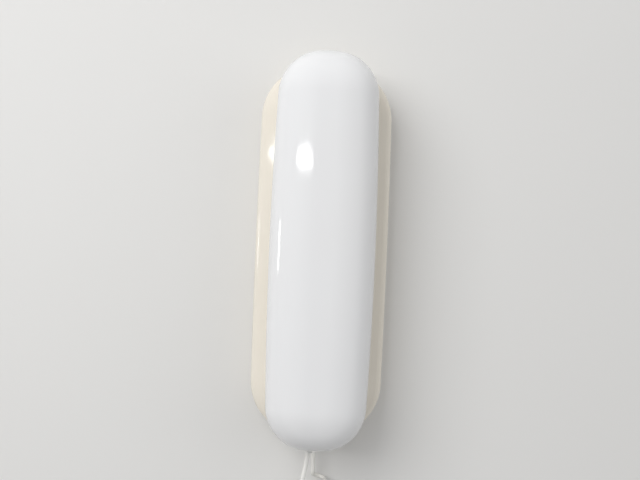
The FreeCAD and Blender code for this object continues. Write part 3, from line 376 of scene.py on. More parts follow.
@dataclass(frozen=True)
class MouldedPlastic(Finish):
    """Moulded plastic: a smooth skin with slow waves, fine handling scuffs and a little ageing."""

    colour: Triple
    aged: Triple
    roughness: float
    scuffing: float
    grain: float = 0.04
    ageing: Pattern = Pattern(14.0, 3.0, spread=(0.35, 0.75))
    specks: Pattern = Pattern(420.0, 4.0, spread=(0.66, 0.8))
    scuffs: Pattern = Pattern(160.0, 5.0, (3.0, 3.0, 0.35), (0.5, 0.82))
    waves: Pattern = Pattern(22.0, 1.0)
    skin: Pattern = Pattern(1500.0, 2.0)
    age_share: float = 0.7
    speck_share: float = 0.25
    wave_height: float = 0.1
    scuff_height: float = 0.02
    relief: Relief = Relief(0.35, 0.0001)
    refraction: float = 1.5

    def shader(self, graph: Graph) -> Value:
        """Add the plastic's nodes to a graph and give its shader."""
        ageing = self.ageing.draw(graph)
        specks = self.specks.draw(graph)
        scuffs = self.scuffs.draw(graph)
        waves = self.waves.draw(graph)
        skin = self.skin.draw(graph)
        height = waves * self.wave_height + skin * self.grain + scuffs * self.scuff_height
        normal = graph.bump(height, self.relief)
        aged = ageing * self.age_share + specks * self.speck_share
        return graph.surface(Base_Color=graph.mix(aged, self.colour, self.aged),
                             Roughness=scuffs * self.scuffing + self.roughness,
                             Normal=normal, IOR=self.refraction)


@dataclass(frozen=True)
class SheetMetal(Finish):
    """Plain or plated metal with drawn or turned marks."""

    colour: Triple
    worn: Triple
    roughness: float
    marks: Pattern = Pattern(700.0, 4.0, (1.0, 12.0, 1.0))
    stains: Pattern = Pattern(130.0, 3.0, spread=(0.45, 0.75))
    mark_roughness: float = 0.18
    relief: Relief = Relief(0.25, 0.00005)

    def shader(self, graph: Graph) -> Value:
        """Add the metal's nodes to a graph and give its shader."""
        marks = self.marks.draw(graph)
        stains = self.stains.draw(graph)
        return graph.surface(Base_Color=graph.mix(stains, self.colour, self.worn), Metallic=1.0,
                             Roughness=marks * self.mark_roughness + self.roughness,
                             Normal=graph.bump(marks, self.relief))


@dataclass(frozen=True)
class SoftRubber(Finish):
    """Moulded rubber with a matt skin and a dusty bloom."""

    colour: Triple
    bloom: Triple
    roughness: float = 0.6
    dust: Pattern = Pattern(90.0, 5.0, spread=(0.4, 0.8))
    skin: Pattern = Pattern(2200.0, 3.0)
    dust_share: float = 0.5
    dust_roughness: float = 0.15
    relief: Relief = Relief(0.4, 0.00008)

    def shader(self, graph: Graph) -> Value:
        """Add the rubber's nodes to a graph and give its shader."""
        dust = self.dust.draw(graph)
        skin = self.skin.draw(graph)
        return graph.surface(Base_Color=graph.mix(dust * self.dust_share, self.colour, self.bloom),
                             Roughness=dust * self.dust_roughness + self.roughness,
                             Normal=graph.bump(skin, self.relief))


@dataclass(frozen=True)
class BoardLacquer(Finish):
    """Green lacquer over copper tracks that run across in some places and upright in others.

    The tracks' width is a share of their pitch.
    """

    lacquer: Triple
    track: Triple
    roughness: float = 0.32
    pitch: float = 0.0022
    run: float = 0.019
    track_width: float = 0.16
    track_edge: float = 0.1
    row_shift: float = 0.41
    row_growth: float = 1.7
    upright: Pattern = Pattern(70.0, 0.0, spread=(0.49, 0.51))
    weave: Pattern = Pattern(900.0, 2.0, (4.0, 1.0, 1.0))
    track_share: float = 0.8
    weave_roughness: float = 0.1
    weave_height: float = 0.2
    relief: Relief = Relief(0.4, 0.00006)

    def tracks(self, graph: Graph, turn: float) -> Value:
        """Thin parallel tracks with a few steps between them.

        Args:
            graph: the material's graph.
            turn: how far they are turned on the board's face, in radians.

        Returns:
            1 on a track and 0 beside it.
        """
        flat = graph.node("ShaderNodeMapping", {}, {
            "Vector": graph.place(), "Rotation": (math.pi / 2, 0.0, 0.0)})
        laid = graph.node("ShaderNodeMapping", {}, {"Vector": flat, "Rotation": (0.0, 0.0, turn)})
        return graph.node("ShaderNodeTexBrick", {"offset": self.row_shift, "squash": self.row_growth}, {
            "Vector": laid, "Scale": 1.0, "Brick Width": self.run, "Row Height": self.pitch,
            "Mortar Size": self.pitch * self.track_width, "Mortar Smooth": self.track_edge}, "Fac")

    def shader(self, graph: Graph) -> Value:
        """Add the board's nodes to a graph and give its shader."""
        upright = self.upright.draw(graph)
        lines = self.tracks(graph, 0.0) * (1.0 - upright) + self.tracks(graph, math.pi / 2) * upright
        weave = self.weave.draw(graph)
        return graph.surface(Base_Color=graph.mix(lines * self.track_share, self.lacquer, self.track),
                             Roughness=weave * self.weave_roughness + self.roughness,
                             Normal=graph.bump(lines + weave * self.weave_height, self.relief))


@dataclass(frozen=True)
class BandedMetal(Finish):
    """Metal in thin parallel bands: wound wire or stacked sheets."""

    colour: Triple
    gap: Triple
    bands: float
    metallic: float
    roughness: float = 0.55
    polish: float = 0.2
    unevenness: float = 0.6
    detail: float = 1.0
    spread: tuple[float, float] = (0.1, 0.6)
    relief: Relief = Relief(0.6, 0.00012)

    def shader(self, graph: Graph) -> Value:
        """Add the metal's nodes to a graph and give its shader."""
        bands = graph.node("ShaderNodeTexWave", {"wave_type": "BANDS", "bands_direction": "Z"}, {
            "Vector": graph.place(), "Scale": self.bands, "Distortion": self.unevenness,
            "Detail": self.detail}, "Fac")
        crowns = graph.ramp(bands, *self.spread)
        return graph.surface(Base_Color=graph.mix(crowns, self.gap, self.colour), Metallic=self.metallic,
                             Roughness=self.roughness - crowns * self.polish,
                             Normal=graph.bump(bands, self.relief))


@dataclass(frozen=True)
class WallPaint(Finish):
    """Pale wall paint with a fine roller texture.

    It shows only from the front, and it lets light from behind reach what touches it, so that
    the telephone's back can be looked at.
    """

    colour: Triple
    patch: Triple
    roughness: float = 0.85
    gloss: float = 0.15
    cloud: Pattern = Pattern(5.0, 3.0)
    roller: Pattern = Pattern(260.0, 3.0)
    relief: Relief = Relief(0.12, 0.0004)
    contact: float = 0.006

    def shader(self, graph: Graph) -> Value:
        """Add the paint's nodes to a graph and give its shader."""
        cloud = self.cloud.draw(graph)
        roller = self.roller.draw(graph)
        paint = graph.surface(Base_Color=graph.mix(cloud, self.colour, self.patch),
                              Roughness=self.roughness, Specular_IOR_Level=self.gloss,
                              Normal=graph.bump(roller, self.relief))
        behind = graph.node("ShaderNodeNewGeometry", output="Backfacing")
        ray = graph.node("ShaderNodeLightPath", output="Ray Length")
        seen_through = graph.math("MAXIMUM", behind, graph.math("LESS_THAN", ray, self.contact))
        clear = graph.node("ShaderNodeBsdfTransparent")
        return graph.node("ShaderNodeMixShader", {}, {0: seen_through, 1: paint, 2: clear})


FINISHES: dict[Slot, Finish] = {
    Slot.SHELL: MouldedPlastic("glossy_white", (0.80, 0.803, 0.812), (0.785, 0.783, 0.785),
                               roughness=0.05, scuffing=0.05),
    Slot.COVER: MouldedPlastic("glossy_ivory", (0.82, 0.77, 0.68), (0.79, 0.735, 0.635),
                               roughness=0.06, scuffing=0.07),
    Slot.PLATE: MouldedPlastic("matt_ivory", (0.68, 0.63, 0.53), (0.62, 0.56, 0.45),
                               roughness=0.5, scuffing=0.12, grain=0.3),
    Slot.KEY: MouldedPlastic("key_white", (0.74, 0.74, 0.74), (0.69, 0.68, 0.65),
                             roughness=0.24, scuffing=0.14),
    Slot.KNOB: MouldedPlastic("knob_ivory", (0.66, 0.61, 0.52), (0.60, 0.54, 0.43),
                              roughness=0.28, scuffing=0.15),
    Slot.CORD: MouldedPlastic("cord_vinyl", (0.84, 0.835, 0.815), (0.79, 0.77, 0.71),
                              roughness=0.22, scuffing=0.1),
    Slot.PLUG: MouldedPlastic("plug_plastic", (0.72, 0.73, 0.72), (0.66, 0.66, 0.62),
                              roughness=0.12, scuffing=0.1),
    Slot.SCREW: SheetMetal("zinc_plate", (0.62, 0.62, 0.63), (0.48, 0.47, 0.43), roughness=0.28),
    Slot.WEIGHT: SheetMetal("dull_steel", (0.40, 0.41, 0.42), (0.27, 0.25, 0.23), roughness=0.42),
    Slot.BOARD: BoardLacquer("board_lacquer", (0.03, 0.19, 0.09), (0.10, 0.33, 0.15)),
    Slot.INK: MouldedPlastic("matt_black", (0.028, 0.028, 0.031), (0.05, 0.05, 0.052),
                             roughness=0.45, scuffing=0.15, grain=0.3),
    Slot.SPEAKER: SoftRubber("speaker_paper", (0.035, 0.035, 0.04), (0.09, 0.085, 0.08)),
    Slot.CORE: BandedMetal("core_sheets", (0.20, 0.20, 0.22), (0.05, 0.05, 0.05),
                           bands=900.0, metallic=0.8),
    Slot.COIL: BandedMetal("copper_winding", (0.60, 0.27, 0.11), (0.16, 0.05, 0.02),
                           bands=700.0, metallic=0.9),
    Slot.CAPACITOR: SheetMetal("drawn_aluminium", (0.66, 0.67, 0.68), (0.55, 0.55, 0.55), roughness=0.3),
    Slot.TERMINAL: SheetMetal("brass", (0.66, 0.50, 0.22), (0.45, 0.31, 0.12), roughness=0.28),
    Slot.RUBBER: SoftRubber("soft_rubber", (0.06, 0.06, 0.065), (0.16, 0.155, 0.15)),
}


def add_object(name: str, data: bpy.types.ID) -> bpy.types.Object:
    """Put a new object into the scene.

    Args:
        name: the object's name.
        data: its mesh, curve, light or camera.

    Returns:
        The object.
    """
    made = bpy.data.objects.new(name, data)
    bpy.context.scene.collection.objects.link(made)
    return made


def meshed(curve: bpy.types.Curve) -> bpy.types.Mesh:
    """Turn a curve or text into a mesh.

    Args:
        curve: the curve or text, which is removed.

    Returns:
        The mesh.
    """
    holder = add_object(curve.name + "_holder", curve)
    mesh = bpy.data.meshes.new_from_object(holder)
    bpy.data.objects.remove(holder)
    bpy.data.curves.remove(curve)
    return mesh


@dataclass
class Workshop:
    """Holds the finished materials, and turns meshes into pieces that ride on bodies.

    Edges that turn by more than the crease, in radians, stay sharp.
    """

    crease: float = 0.6
    materials: dict[Slot, bpy.types.Material] = field(default_factory=dict)

    def mix_finishes(self) -> None:
        """Make every finish once and put it on the nodes that carry its slot."""
        for slot, finish in FINISHES.items():
            self.materials[slot] = finish.build()
        for entry in frame["record"]["subparts"]:
            node = frame["nodes"][entry["node"]]
            node.data.materials.clear()
            node.data.materials.append(self.materials[Slot(entry["material_slot"])])

    def piece(self, name: str, mesh: bpy.types.Mesh, slot: Slot) -> bpy.types.Object:
        """Make an object of a mesh and dress it.

        Args:
            name: the piece's name.
            mesh: its mesh, already in place.
            slot: the slot whose finish it takes.

        Returns:
            The new object.
        """
        made = add_object(name, mesh)
        mesh.materials.clear()
        mesh.materials.append(self.materials[slot])
        LOG.info("%s: %d faces", name, len(mesh.polygons))
        return made

    def close(self, name: str, form: bmesh.types.BMesh) -> bpy.types.Mesh:
        """Turn a bmesh into a mesh with soft shading between its creases.

        Args:
            name: the mesh's name.
            form: the bmesh, which is freed.

        Returns:
            The mesh.
        """
        bmesh.ops.recalc_face_normals(form, faces=form.faces)
        for face in form.faces:
            face.smooth = True
        for edge in form.edges:
            edge.smooth = len(edge.link_faces) == 2 and edge.calc_face_angle() < self.crease
        mesh = bpy.data.meshes.new(name)
        form.to_mesh(mesh)
        form.free()
        return mesh


def block(form: bmesh.types.BMesh, low: Vector, high: Vector) -> list[bmesh.types.BMVert]:
    """Add a block between two corners.

    Args:
        form: the bmesh to add to.
        low: its lowest corner.
        high: its highest corner.

    Returns:
        Its vertices.
    """
    size = high - low
    place = Matrix.Translation((low + high) / 2) @ Matrix.Diagonal((*size, 1.0))
    return bmesh.ops.create_cube(form, size=1.0, matrix=place)["verts"]


def edges_at(verts: list[bmesh.types.BMVert]) -> list[bmesh.types.BMEdge]:
    """The edges that meet at some vertices, each once."""
    return list(dict.fromkeys(edge for vert in verts for edge in vert.link_edges))


def depth_edges(verts: list[bmesh.types.BMVert]) -> list[bmesh.types.BMEdge]:
    """Those edges at some vertices that run straight towards the wall."""
    return [edge for edge in edges_at(verts)
            if abs((edge.verts[0].co - edge.verts[1].co).normalized().y) > ALONG_AXIS]


def wall_face(form: bmesh.types.BMesh) -> bmesh.types.BMFace:
    """The face of a form that lies nearest the wall."""
    return max(form.faces, key=lambda face: face.calc_center_median().y)


def soften(form: bmesh.types.BMesh, edges: list[bmesh.types.BMEdge], radius: float,
           strips: int) -> None:
    """Round some edges.

    Args:
        form: the bmesh.
        edges: the edges.
        radius: the rounding's size.
        strips: how many strips it has.
    """
    bmesh.ops.bevel(form, geom=edges, offset=radius, offset_type="OFFSET", segments=strips,
                    profile=ROUND_PROFILE, affect="EDGES", material=-1, clamp_overlap=True)


def skin(form: bmesh.types.BMesh, loops: list[list[Vector]]) -> None:
    """Add a closed body whose side is carried from loop to loop, with a face at each end.

    Args:
        form: the bmesh to add to.
        loops: loops of points, with as many points each.
    """
    rows = [[form.verts.new(point) for point in loop] for loop in loops]
    for before, after in zip(rows, rows[1:]):
        for index in range(len(before)):
            form.faces.new((before[index - 1], before[index], after[index], after[index - 1]))
    form.faces.new(rows[0][::-1])
    form.faces.new(rows[-1])


def handset_screw_heads() -> list[Vector]:
    """The middles of the four handset screws' heads, on their faces."""
    low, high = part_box("handset_screws")
    inset = HANDSET_SCREW_HEAD_RADIUS
    return [Vector((across, high.y, up)) for across in (low.x + inset, high.x - inset)
            for up in (low.z + inset, high.z - inset)]


def eased(share: float) -> float:
    """A smooth step from 0 to 1 as a share goes from 0 to 1."""
    held = max(0.0, min(1.0, share))
    return held * held * (3.0 - 2.0 * held)


@dataclass
class HandsetBack:
    """The handset's domed white back, with the rebate for the lip and the four screw bosses.

    Its outline is arcs that touch, and one profile is carried round it: straight up, in on the
    rim radius, and level on the crown radius.
    """

    shop: Workshop
    node: str = "handset_outer_shell"
    side_radius: float = 2.4
    end_radius: float = 0.070
    corner_radius: float = 0.024
    wall: float = 0.0024
    crown_run: float = 0.0235
    crown_radius: float = 0.032
    rim_radius: float = 0.018
    rebate_inset: float = 0.00115
    rebate_depth: float = 0.00195
    boss_radius: float = 0.0039
    pilot_radius: float = 0.00155
    pilot_depth: float = 0.0056
    side_steps: int = 40
    corner_steps: int = 16
    end_steps: int = 16
    profile_steps: int = 16
    boss_steps: int = 24

    def __post_init__(self) -> None:
        """Work out the arcs' middles from the node's box."""
        low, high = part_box(self.node)
        self.parting = -high.y
        self.side_centre = high.x - self.side_radius
        self.end_centre = high.z - self.end_radius
        self.crown_centre = -low.y - self.crown_radius
        self.lean = math.asin((self.crown_run - self.rim_radius) / (self.crown_radius - self.rim_radius))
        self.rim_centre = self.crown_centre + (self.crown_radius - self.rim_radius) * math.cos(self.lean)

    def corner(self) -> tuple[float, float]:
        """The middle of the corner arc that touches a side and an end, as across and up."""
        from_side = self.side_radius - self.corner_radius
        from_end = self.end_radius - self.corner_radius
        apart = math.hypot(self.side_centre, self.end_centre)
        along = (from_side ** 2 - from_end ** 2 + apart ** 2) / (2 * apart)
        beside = math.sqrt(from_side ** 2 - along ** 2)
        step_across, step_up = -self.side_centre / apart, self.end_centre / apart
        return (self.side_centre + along * step_across - beside * step_up,
                along * step_up + beside * step_across)

    def outline(self) -> list[tuple[Vector, Vector]]:
        """Points of the outline with the way out at each, from the foot of the right side.

        The second half is the first half turned round.

        Returns:
            The points and the ways out.
        """
        across, up = self.corner()
        side = math.atan2(up, across - self.side_centre)
        end = math.atan2(up - self.end_centre, across)
        half = math.pi
        arcs = ((self.side_centre, 0.0, self.side_radius, -side, side, self.side_steps),
                (across, up, self.corner_radius, side, end, self.corner_steps),
                (0.0, self.end_centre, self.end_radius, end, half - end, self.end_steps),
                (-across, up, self.corner_radius, half - end, half - side, self.corner_steps))
        points = []
        for sign, turn in ((1.0, 0.0), (-1.0, half)):
            for centre_across, centre_up, radius, start, finish, steps in arcs:
                centre = Vector((centre_across, 0.0, centre_up)) * sign
                for step in range(steps):
                    angle = turn + start + (finish - start) * step / steps
                    way = Vector((math.cos(angle), 0.0, math.sin(angle)))
                    points.append((centre + way * radius, way))
        return points

    def profile(self, inset: float) -> list[tuple[float, float]]:
        """The dome's profile from the rim to the crown.

        Args:
            inset: how far the profile is moved in.

        Returns:
            Distances in from the outline, and depths out from the wall.
        """
        rim, crown = self.rim_radius - inset, self.crown_radius - inset
        square = math.pi / 2
        found = []
        for step in range(self.profile_steps + 1):
            angle = square + (self.lean - square) * step / self.profile_steps
            found.append((self.rim_radius - rim * math.sin(angle), self.rim_centre + rim * math.cos(angle)))
        for step in range(1, self.profile_steps + 1):
            angle = self.lean * (1.0 - step / self.profile_steps)
            found.append((self.crown_run - crown * math.sin(angle),
                          self.crown_centre + crown * math.cos(angle)))
        return found

    def inside(self, place: Vector) -> float:
        """The depth of the middle of the dome's wall at a place near a side."""
        inset = self.wall / 2
        run = self.side_radius - math.hypot(abs(place.x) - self.side_centre, place.z)
        if run < self.rim_radius - (self.rim_radius - inset) * math.sin(self.lean):
            reach, middle, centre = self.rim_radius - inset, self.rim_radius, self.rim_centre
        else:
            reach, middle, centre = self.crown_radius - inset, self.crown_run, self.crown_centre
        return centre + math.sqrt(reach ** 2 - (middle - run) ** 2)

    def boss(self, place: Vector) -> list[list[Vector]]:
        """The loops of one screw boss, from its top in the wall to its pilot hole.

        Args:
            place: the screw's middle.

        Returns:
            The loops.
        """
        turns = [2.0 * math.pi * step / self.boss_steps for step in range(self.boss_steps)]
        ways = [Vector((math.cos(turn), 0.0, math.sin(turn))) for turn in turns]
        middle = Vector((place.x, -self.parting, place.z))
        rim = [middle + way * self.boss_radius for way in ways]
        top = [Vector((point.x, -self.inside(point), point.z)) for point in rim]
        mouth = [middle + way * self.pilot_radius for way in ways]
        floor = [point - Vector((0.0, self.pilot_depth, 0.0)) for point in mouth]
        return [top, rim, mouth, floor]

    def build(self) -> None:
        """Make the shell and its bosses as one piece."""
        rebate_out = self.parting + self.rebate_depth
        section = [*reversed(self.profile(self.wall)), (self.wall, rebate_out),
                   (self.rebate_inset, rebate_out), (self.rebate_inset, self.parting),
                   (0.0, self.parting), *self.profile(0.0)]
        outline = self.outline()
        form = bmesh.new()
        skin(form, [[point - way * run + Vector((0.0, -out, 0.0)) for point, way in outline]
                    for run, out in section])
        for place in handset_screw_heads():
            skin(form, self.boss(place))
        name = self.node + "_body"
        shell = self.shop.piece(name, self.shop.close(name, form), Slot.SHELL)
        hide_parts(self.node)
        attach(shell, Body.HANDSET.value)


@dataclass
class Keypad:
    """The twelve dished keys on the handset's inner face, with their printed marks."""

    shop: Workshop
    flange: float = 0.0009
    flange_corner: float = 0.0003
    flange_strips: int = 2
    corner: float = 0.0018
    corner_strips: int = 5
    rim: float = 0.0006
    rim_strips: int = 3
    dish: float = 0.0003
    dish_step: float = 0.0003
    dish_steps: Triple = (0.55, 0.3, 0.15)
    mark_size: float = 0.0052
    star_growth: float = 1.5
    mark_depth: float = 0.00003
    marks: dict[str, str] = field(default_factory=lambda: {
        **{f"key_{number}": str(number) for number in range(10)}, "key_star": "*", "key_hash": "#"})

    def cap(self, node: str) -> bpy.types.Mesh:
        """Model one key: a rounded cap with a dished face, and the flange behind it.

        Args:
            node: the key's node.

        Returns:
            The key's mesh.
        """
        low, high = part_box(node)
        form = bmesh.new()
        margin = Vector((self.flange, 0.0, self.flange))
        verts = block(form, low + margin, high - margin)
        soften(form, depth_edges(verts), self.corner, self.corner_strips)
        soften(form, list(wall_face(form).edges), self.rim, self.rim_strips)
        face = wall_face(form)
        for share in self.dish_steps:
            bmesh.ops.inset_region(form, faces=[face], thickness=self.dish_step, use_even_offset=True)
            bmesh.ops.translate(form, verts=list(face.verts), vec=(0.0, -self.dish * share, 0.0))
        flange_top = Vector((high.x, low.y + self.flange, high.z))
        verts = block(form, low, flange_top)
        soften(form, depth_edges(verts), self.flange_corner, self.flange_strips)
        return self.shop.close(node + "_cap", form)

    def mark(self, node: str, text: str) -> bpy.types.Mesh:
        """Model a key's printed mark, which reads from the wall's side.

        Args:
            node: the key's node.
            text: the mark.

        Returns:
            The mark's mesh.
        """
        low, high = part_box(node)
        letter = bpy.data.curves.new(node + "_mark", "FONT")
        letter.body = text
        letter.size = self.mark_size * (self.star_growth if text == "*" else 1.0)
        letter.align_x = "CENTER"
        letter.align_y = "CENTER"
        letter.extrude = self.mark_depth
        mesh = meshed(letter)
        centre = (low + high) / 2
        face = high.y - self.dish
        mesh.transform(Matrix.Translation((centre.x, face, centre.z)) @ FACING_WALL)
        return mesh

    def build(self) -> None:
        """Make every key and its mark."""
        for node, text in self.marks.items():
            cap = self.shop.piece(node + "_cap", self.cap(node), Slot.KEY)
            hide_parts(node)
            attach(cap, node)
            mark = self.shop.piece(node + "_mark", self.mark(node, text), Slot.INK)
            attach(mark, node)


@dataclass
class KeypadMat:
    """The rubber mat behind the keys: a sheet with one pad for each key.

    The crown is the top's share of a pad's width. The pressed share of a pad's rise is not used.
    """

    shop: Workshop
    sheet: float = 0.0008
    sheet_corner: float = 0.002
    sheet_strips: int = 5
    pad_width: float = 0.006
    pad_height: float = 0.005
    pad_corner: float = 0.0011
    corner_strips: int = 4
    pad_edge: float = 0.0003
    edge_strips: int = 2
    crown: float = 0.8
    pressed: float = 0.3

    def pad(self, node: str, foot: Vector, rise: float) -> bpy.types.Mesh:
        """Model one tapered pad.

        Args:
            node: the key's node.
            foot: the middle of the pad's foot.
            rise: how far it stands up from the sheet.

        Returns:
            The pad's mesh.
        """
        reach = Vector((self.pad_width / 2, 0.0, self.pad_height / 2))
        form = bmesh.new()
        verts = block(form, foot - reach, foot + reach + Vector((0.0, rise, 0.0)))
        soften(form, depth_edges(verts), self.pad_corner, self.corner_strips)
        face = wall_face(form)
        bmesh.ops.scale(form, vec=(self.crown, 1.0, self.crown), verts=list(face.verts),
                        space=Matrix.Translation(-foot))
        soften(form, list(face.edges), self.pad_edge, self.edge_strips)
        return self.shop.close(node + "_pad", form)

    def build(self, keys: tuple[str, ...]) -> None:
        """Make the sheet, and the pad behind each key.

        Args:
            keys: the keys' nodes.
        """
        low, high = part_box("keypad_mat")
        face = low.y + self.sheet
        form = bmesh.new()
        verts = block(form, low, Vector((high.x, face, high.z)))
        soften(form, depth_edges(verts), self.sheet_corner, self.sheet_strips)
        name = "keypad_mat_sheet"
        sheet = self.shop.piece(name, self.shop.close(name, form), Slot.RUBBER)
        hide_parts("keypad_mat")
        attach(sheet, Body.HANDSET.value)
        for node in keys:
            key_low, key_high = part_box(node)
            foot = (key_low + key_high) / 2
            foot.y = face
            pad = self.shop.piece(node + "_pad", self.pad(node, foot, high.y - face), Slot.RUBBER)
            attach(pad, Body.HANDSET.value)
            node + "_press"
            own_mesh(pad)


@dataclass
class CordPlugs:
    """The two cord plugs, with a sleeve where the cord leaves each."""

    shop: Workshop
    edge: float = 0.0005
    edge_strips: int = 2
    sleeve_length: float = 0.0032
    sleeve_radius: float = 0.0023
    sleeve_end_radius: float = 0.0013
    sleeve_edge: float = 0.00025
    sleeve_sides: int = 24

    def model(self, node: str) -> bpy.types.Mesh:
        """Model one plug.

        Args:
            node: the plug's node.

        Returns:
            The plug's mesh.
        """
        low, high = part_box(node)
        form = bmesh.new()
        soften(form, edges_at(block(form, low, high)), self.edge, self.edge_strips)
        centre = (low + high) / 2
        place = Matrix.Translation((centre.x, centre.y, low.z - self.sleeve_length / 2))
        sleeve = bmesh.ops.create_cone(form, cap_ends=True, segments=self.sleeve_sides,
                                       radius1=self.sleeve_end_radius, radius2=self.sleeve_radius,
                                       depth=self.sleeve_length, matrix=place)
        rims = [edge for edge in edges_at(sleeve["verts"])
                if abs(edge.verts[0].co.z - edge.verts[1].co.z) < LEVEL]
        soften(form, rims, self.sleeve_edge, self.edge_strips)
        return self.shop.close(node + "_body", form)

    def build(self) -> list[bpy.types.Object]:
        """Make both plugs.

        Returns:
            The plugs.
        """
        made = []
        for node, body in (("base_cord_plug", Body.BASE), ("handset_cord_plug", Body.HANDSET)):
            plug = self.shop.piece(node + "_body", self.model(node), Slot.PLUG)
            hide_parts(node)
            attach(plug, body.value)
            made.append(plug)
        return made


@dataclass
class ScrewCrosses:
    """Painted shade for the cross recesses of the screws that show when the handset is off: a thin dark
    cross on each head stands in for the shade inside its recess.

    The two cover screws face out from the floors of the ear's and the mouth's recess.
    """

    shop: Workshop
    arm: float = 0.0019
    width: float = 0.0006
    depth: float = 0.00012
    corner: float = 0.00015
    corner_strips: int = 2
    ear_screw_face: float = -0.019
    mouth_screw_face: float = -0.020

    def model(self, name: str, places: list[Vector]) -> bpy.types.Mesh:
        """Model a thin dark cross on each screw head, as painted shade for its recess.

        Args:
            name: the mesh's name.
            places: the middle of each head's face.

        Returns:
            The mesh.
        """
        across = Vector((self.arm, self.depth, self.width)) / 2
        up = Vector((self.width, self.depth, self.arm)) / 2
        form = bmesh.new()
        for place in places:
            for reach in (across, up):
                # painted shade: a thin matt black slab stands in for the shade inside each cross recess
                verts = block(form, place - reach, place + reach)
                soften(form, depth_edges(verts), self.corner, self.corner_strips)
        return self.shop.close(name, form)

    def build(self) -> None:
        """Make the painted-shade crosses of the cover's and the handset's screws."""
        low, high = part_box("cover_screws")
        across = (low.x + high.x) / 2
        radius = (high.x - low.x) / 2
        heads = [Vector((across, self.ear_screw_face, high.z - radius)),
                 Vector((across, self.mouth_screw_face, low.z + radius))]
        name = "cover_screw_crosses"
        cover = self.shop.piece(name, self.model(name, heads), Slot.INK)
        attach(cover, Body.BASE.value)
        name = "handset_screw_crosses"
        handset = self.shop.piece(name, self.model(name, handset_screw_heads()), Slot.INK)
        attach(handset, Body.HANDSET.value)


@dataclass
class CurlyCord:
    """One curly cord from the base's plug to the handset's plug.

    The route gives the curls' axis as across, out from the wall and up, in metres. The curls set
    in over the growth at each end of the coil, and where the handset's tail begins the strand comes
    back to the axis over the settling.
    """

    shop: Workshop
    strand: float = 0.0024
    curl_radius: float = 0.00355
    pitch: float = 0.0033
    steps_per_turn: int = 18
    base_tail: float = 0.0195
    handset_tail: float = 0.0365
    growth: float = 0.009
    settling: float = 0.015
    section_steps: int = 3
    route_order: int = 3
    route_steps: int = 40
    route: tuple[Triple, ...] = (
        (0.00405, 0.0069, -0.1058), (0.00405, 0.0069, -0.1200), (0.00405, 0.0069, -0.1300),
        (0.0045, 0.0070, -0.1420), (0.0110, 0.0073, -0.1620),
        (0.0220, 0.0078, -0.1850), (0.0305, 0.0083, -0.2070), (0.0280, 0.0088, -0.2290),
        (0.0138, 0.0105, -0.2450), (-0.0075, 0.0300, -0.2480), (-0.0260, 0.0330, -0.2370),
        (-0.0350, 0.0340, -0.2180), (-0.0315, 0.0342, -0.1960), (-0.0205, 0.0342, -0.1685),
        (-0.0098, 0.0342, -0.1425), (-0.0052, 0.0349, -0.1240), (-0.0029, 0.0349, -0.1090),
        (-0.0022, 0.0349, -0.1064))

    def line(self) -> list[Vector]:
        """Read the route's smooth line from its spline.

        Returns:
            Points along the line, from the base to the handset.
        """
        curve = bpy.data.curves.new("cord_route", "CURVE")
        curve.dimensions = "3D"
        spline = curve.splines.new("NURBS")
        spline.points.add(len(self.route) - 1)
        for point, (across, out, up) in zip(spline.points, self.route):
            point.co = (across, -out, up, 1.0)
        spline.order_u = self.route_order
        spline.use_endpoint_u = True
        spline.resolution_u = self.route_steps
        mesh = meshed(curve)
        points = [vert.co.copy() for vert in mesh.vertices]
        bpy.data.meshes.remove(mesh)
        return points

    def curls(self, line: list[Vector]) -> list[Vector]:
        """Wind the strand round the line, straight at both ends.

        Args:
            line: points along the line.

        Returns:
            Points along the strand's middle.
        """
        total = sum((after - before).length for before, after in zip(line, line[1:]))
        step = self.pitch / self.steps_per_turn
        strand = []
        gone = 0.0
        phase = 0.0
        beside = Vector((-1.0, 0.0, 0.0))
        for before, after in zip(line, line[1:]):
            run = after - before
            heading = run.normalized()
            beside = (beside - heading * beside.dot(heading)).normalized()
            square = heading.cross(beside)
            parts = math.ceil(run.length / step)
            for part in range(parts):
                place = gone + run.length * part / parts
                left = total - self.handset_tail - place
                turning = eased((place - self.base_tail) / self.growth) * eased(left / self.growth)
                width = eased(left / self.settling + 1.0)
                swing = beside * math.cos(phase) + square * math.sin(phase)
                strand.append(before + run * (part / parts) + swing * self.curl_radius * width)
                phase += 2.0 * math.pi * turning * run.length / parts / self.pitch
            gone += run.length
        strand.append(line[-1].copy())
        return strand

    def tube(self, strand: list[Vector]) -> bpy.types.Mesh:
        """Give the strand its round section.

        Args:
            strand: points along its middle.

        Returns:
            The strand's mesh.
        """
        curve = bpy.data.curves.new("cord_strand", "CURVE")
        curve.dimensions = "3D"
        curve.bevel_depth = self.strand / 2
        curve.bevel_resolution = self.section_steps
        curve.use_fill_caps = True
        spline = curve.splines.new("POLY")
        spline.points.add(len(strand) - 1)
        for point, place in zip(spline.points, strand):
            point.co = (*place, 1.0)
        mesh = meshed(curve)
        for face in mesh.polygons:
            face.use_smooth = True
        return mesh

    def build(self, plugs: list[bpy.types.Object]) -> None:
        """Args:
            plugs: the plugs at its two ends; not used.
        """
        strand = self.curls(self.line())
        length = sum((after - before).length for before, after in zip(strand, strand[1:]))
        LOG.info("cord: %.3f m of strand", length)
        cord = self.shop.piece("curly_cord", self.tube(strand), Slot.CORD)
        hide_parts("cord_base_tail", "cord_coil", "cord_handset_tail")
        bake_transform(cord)


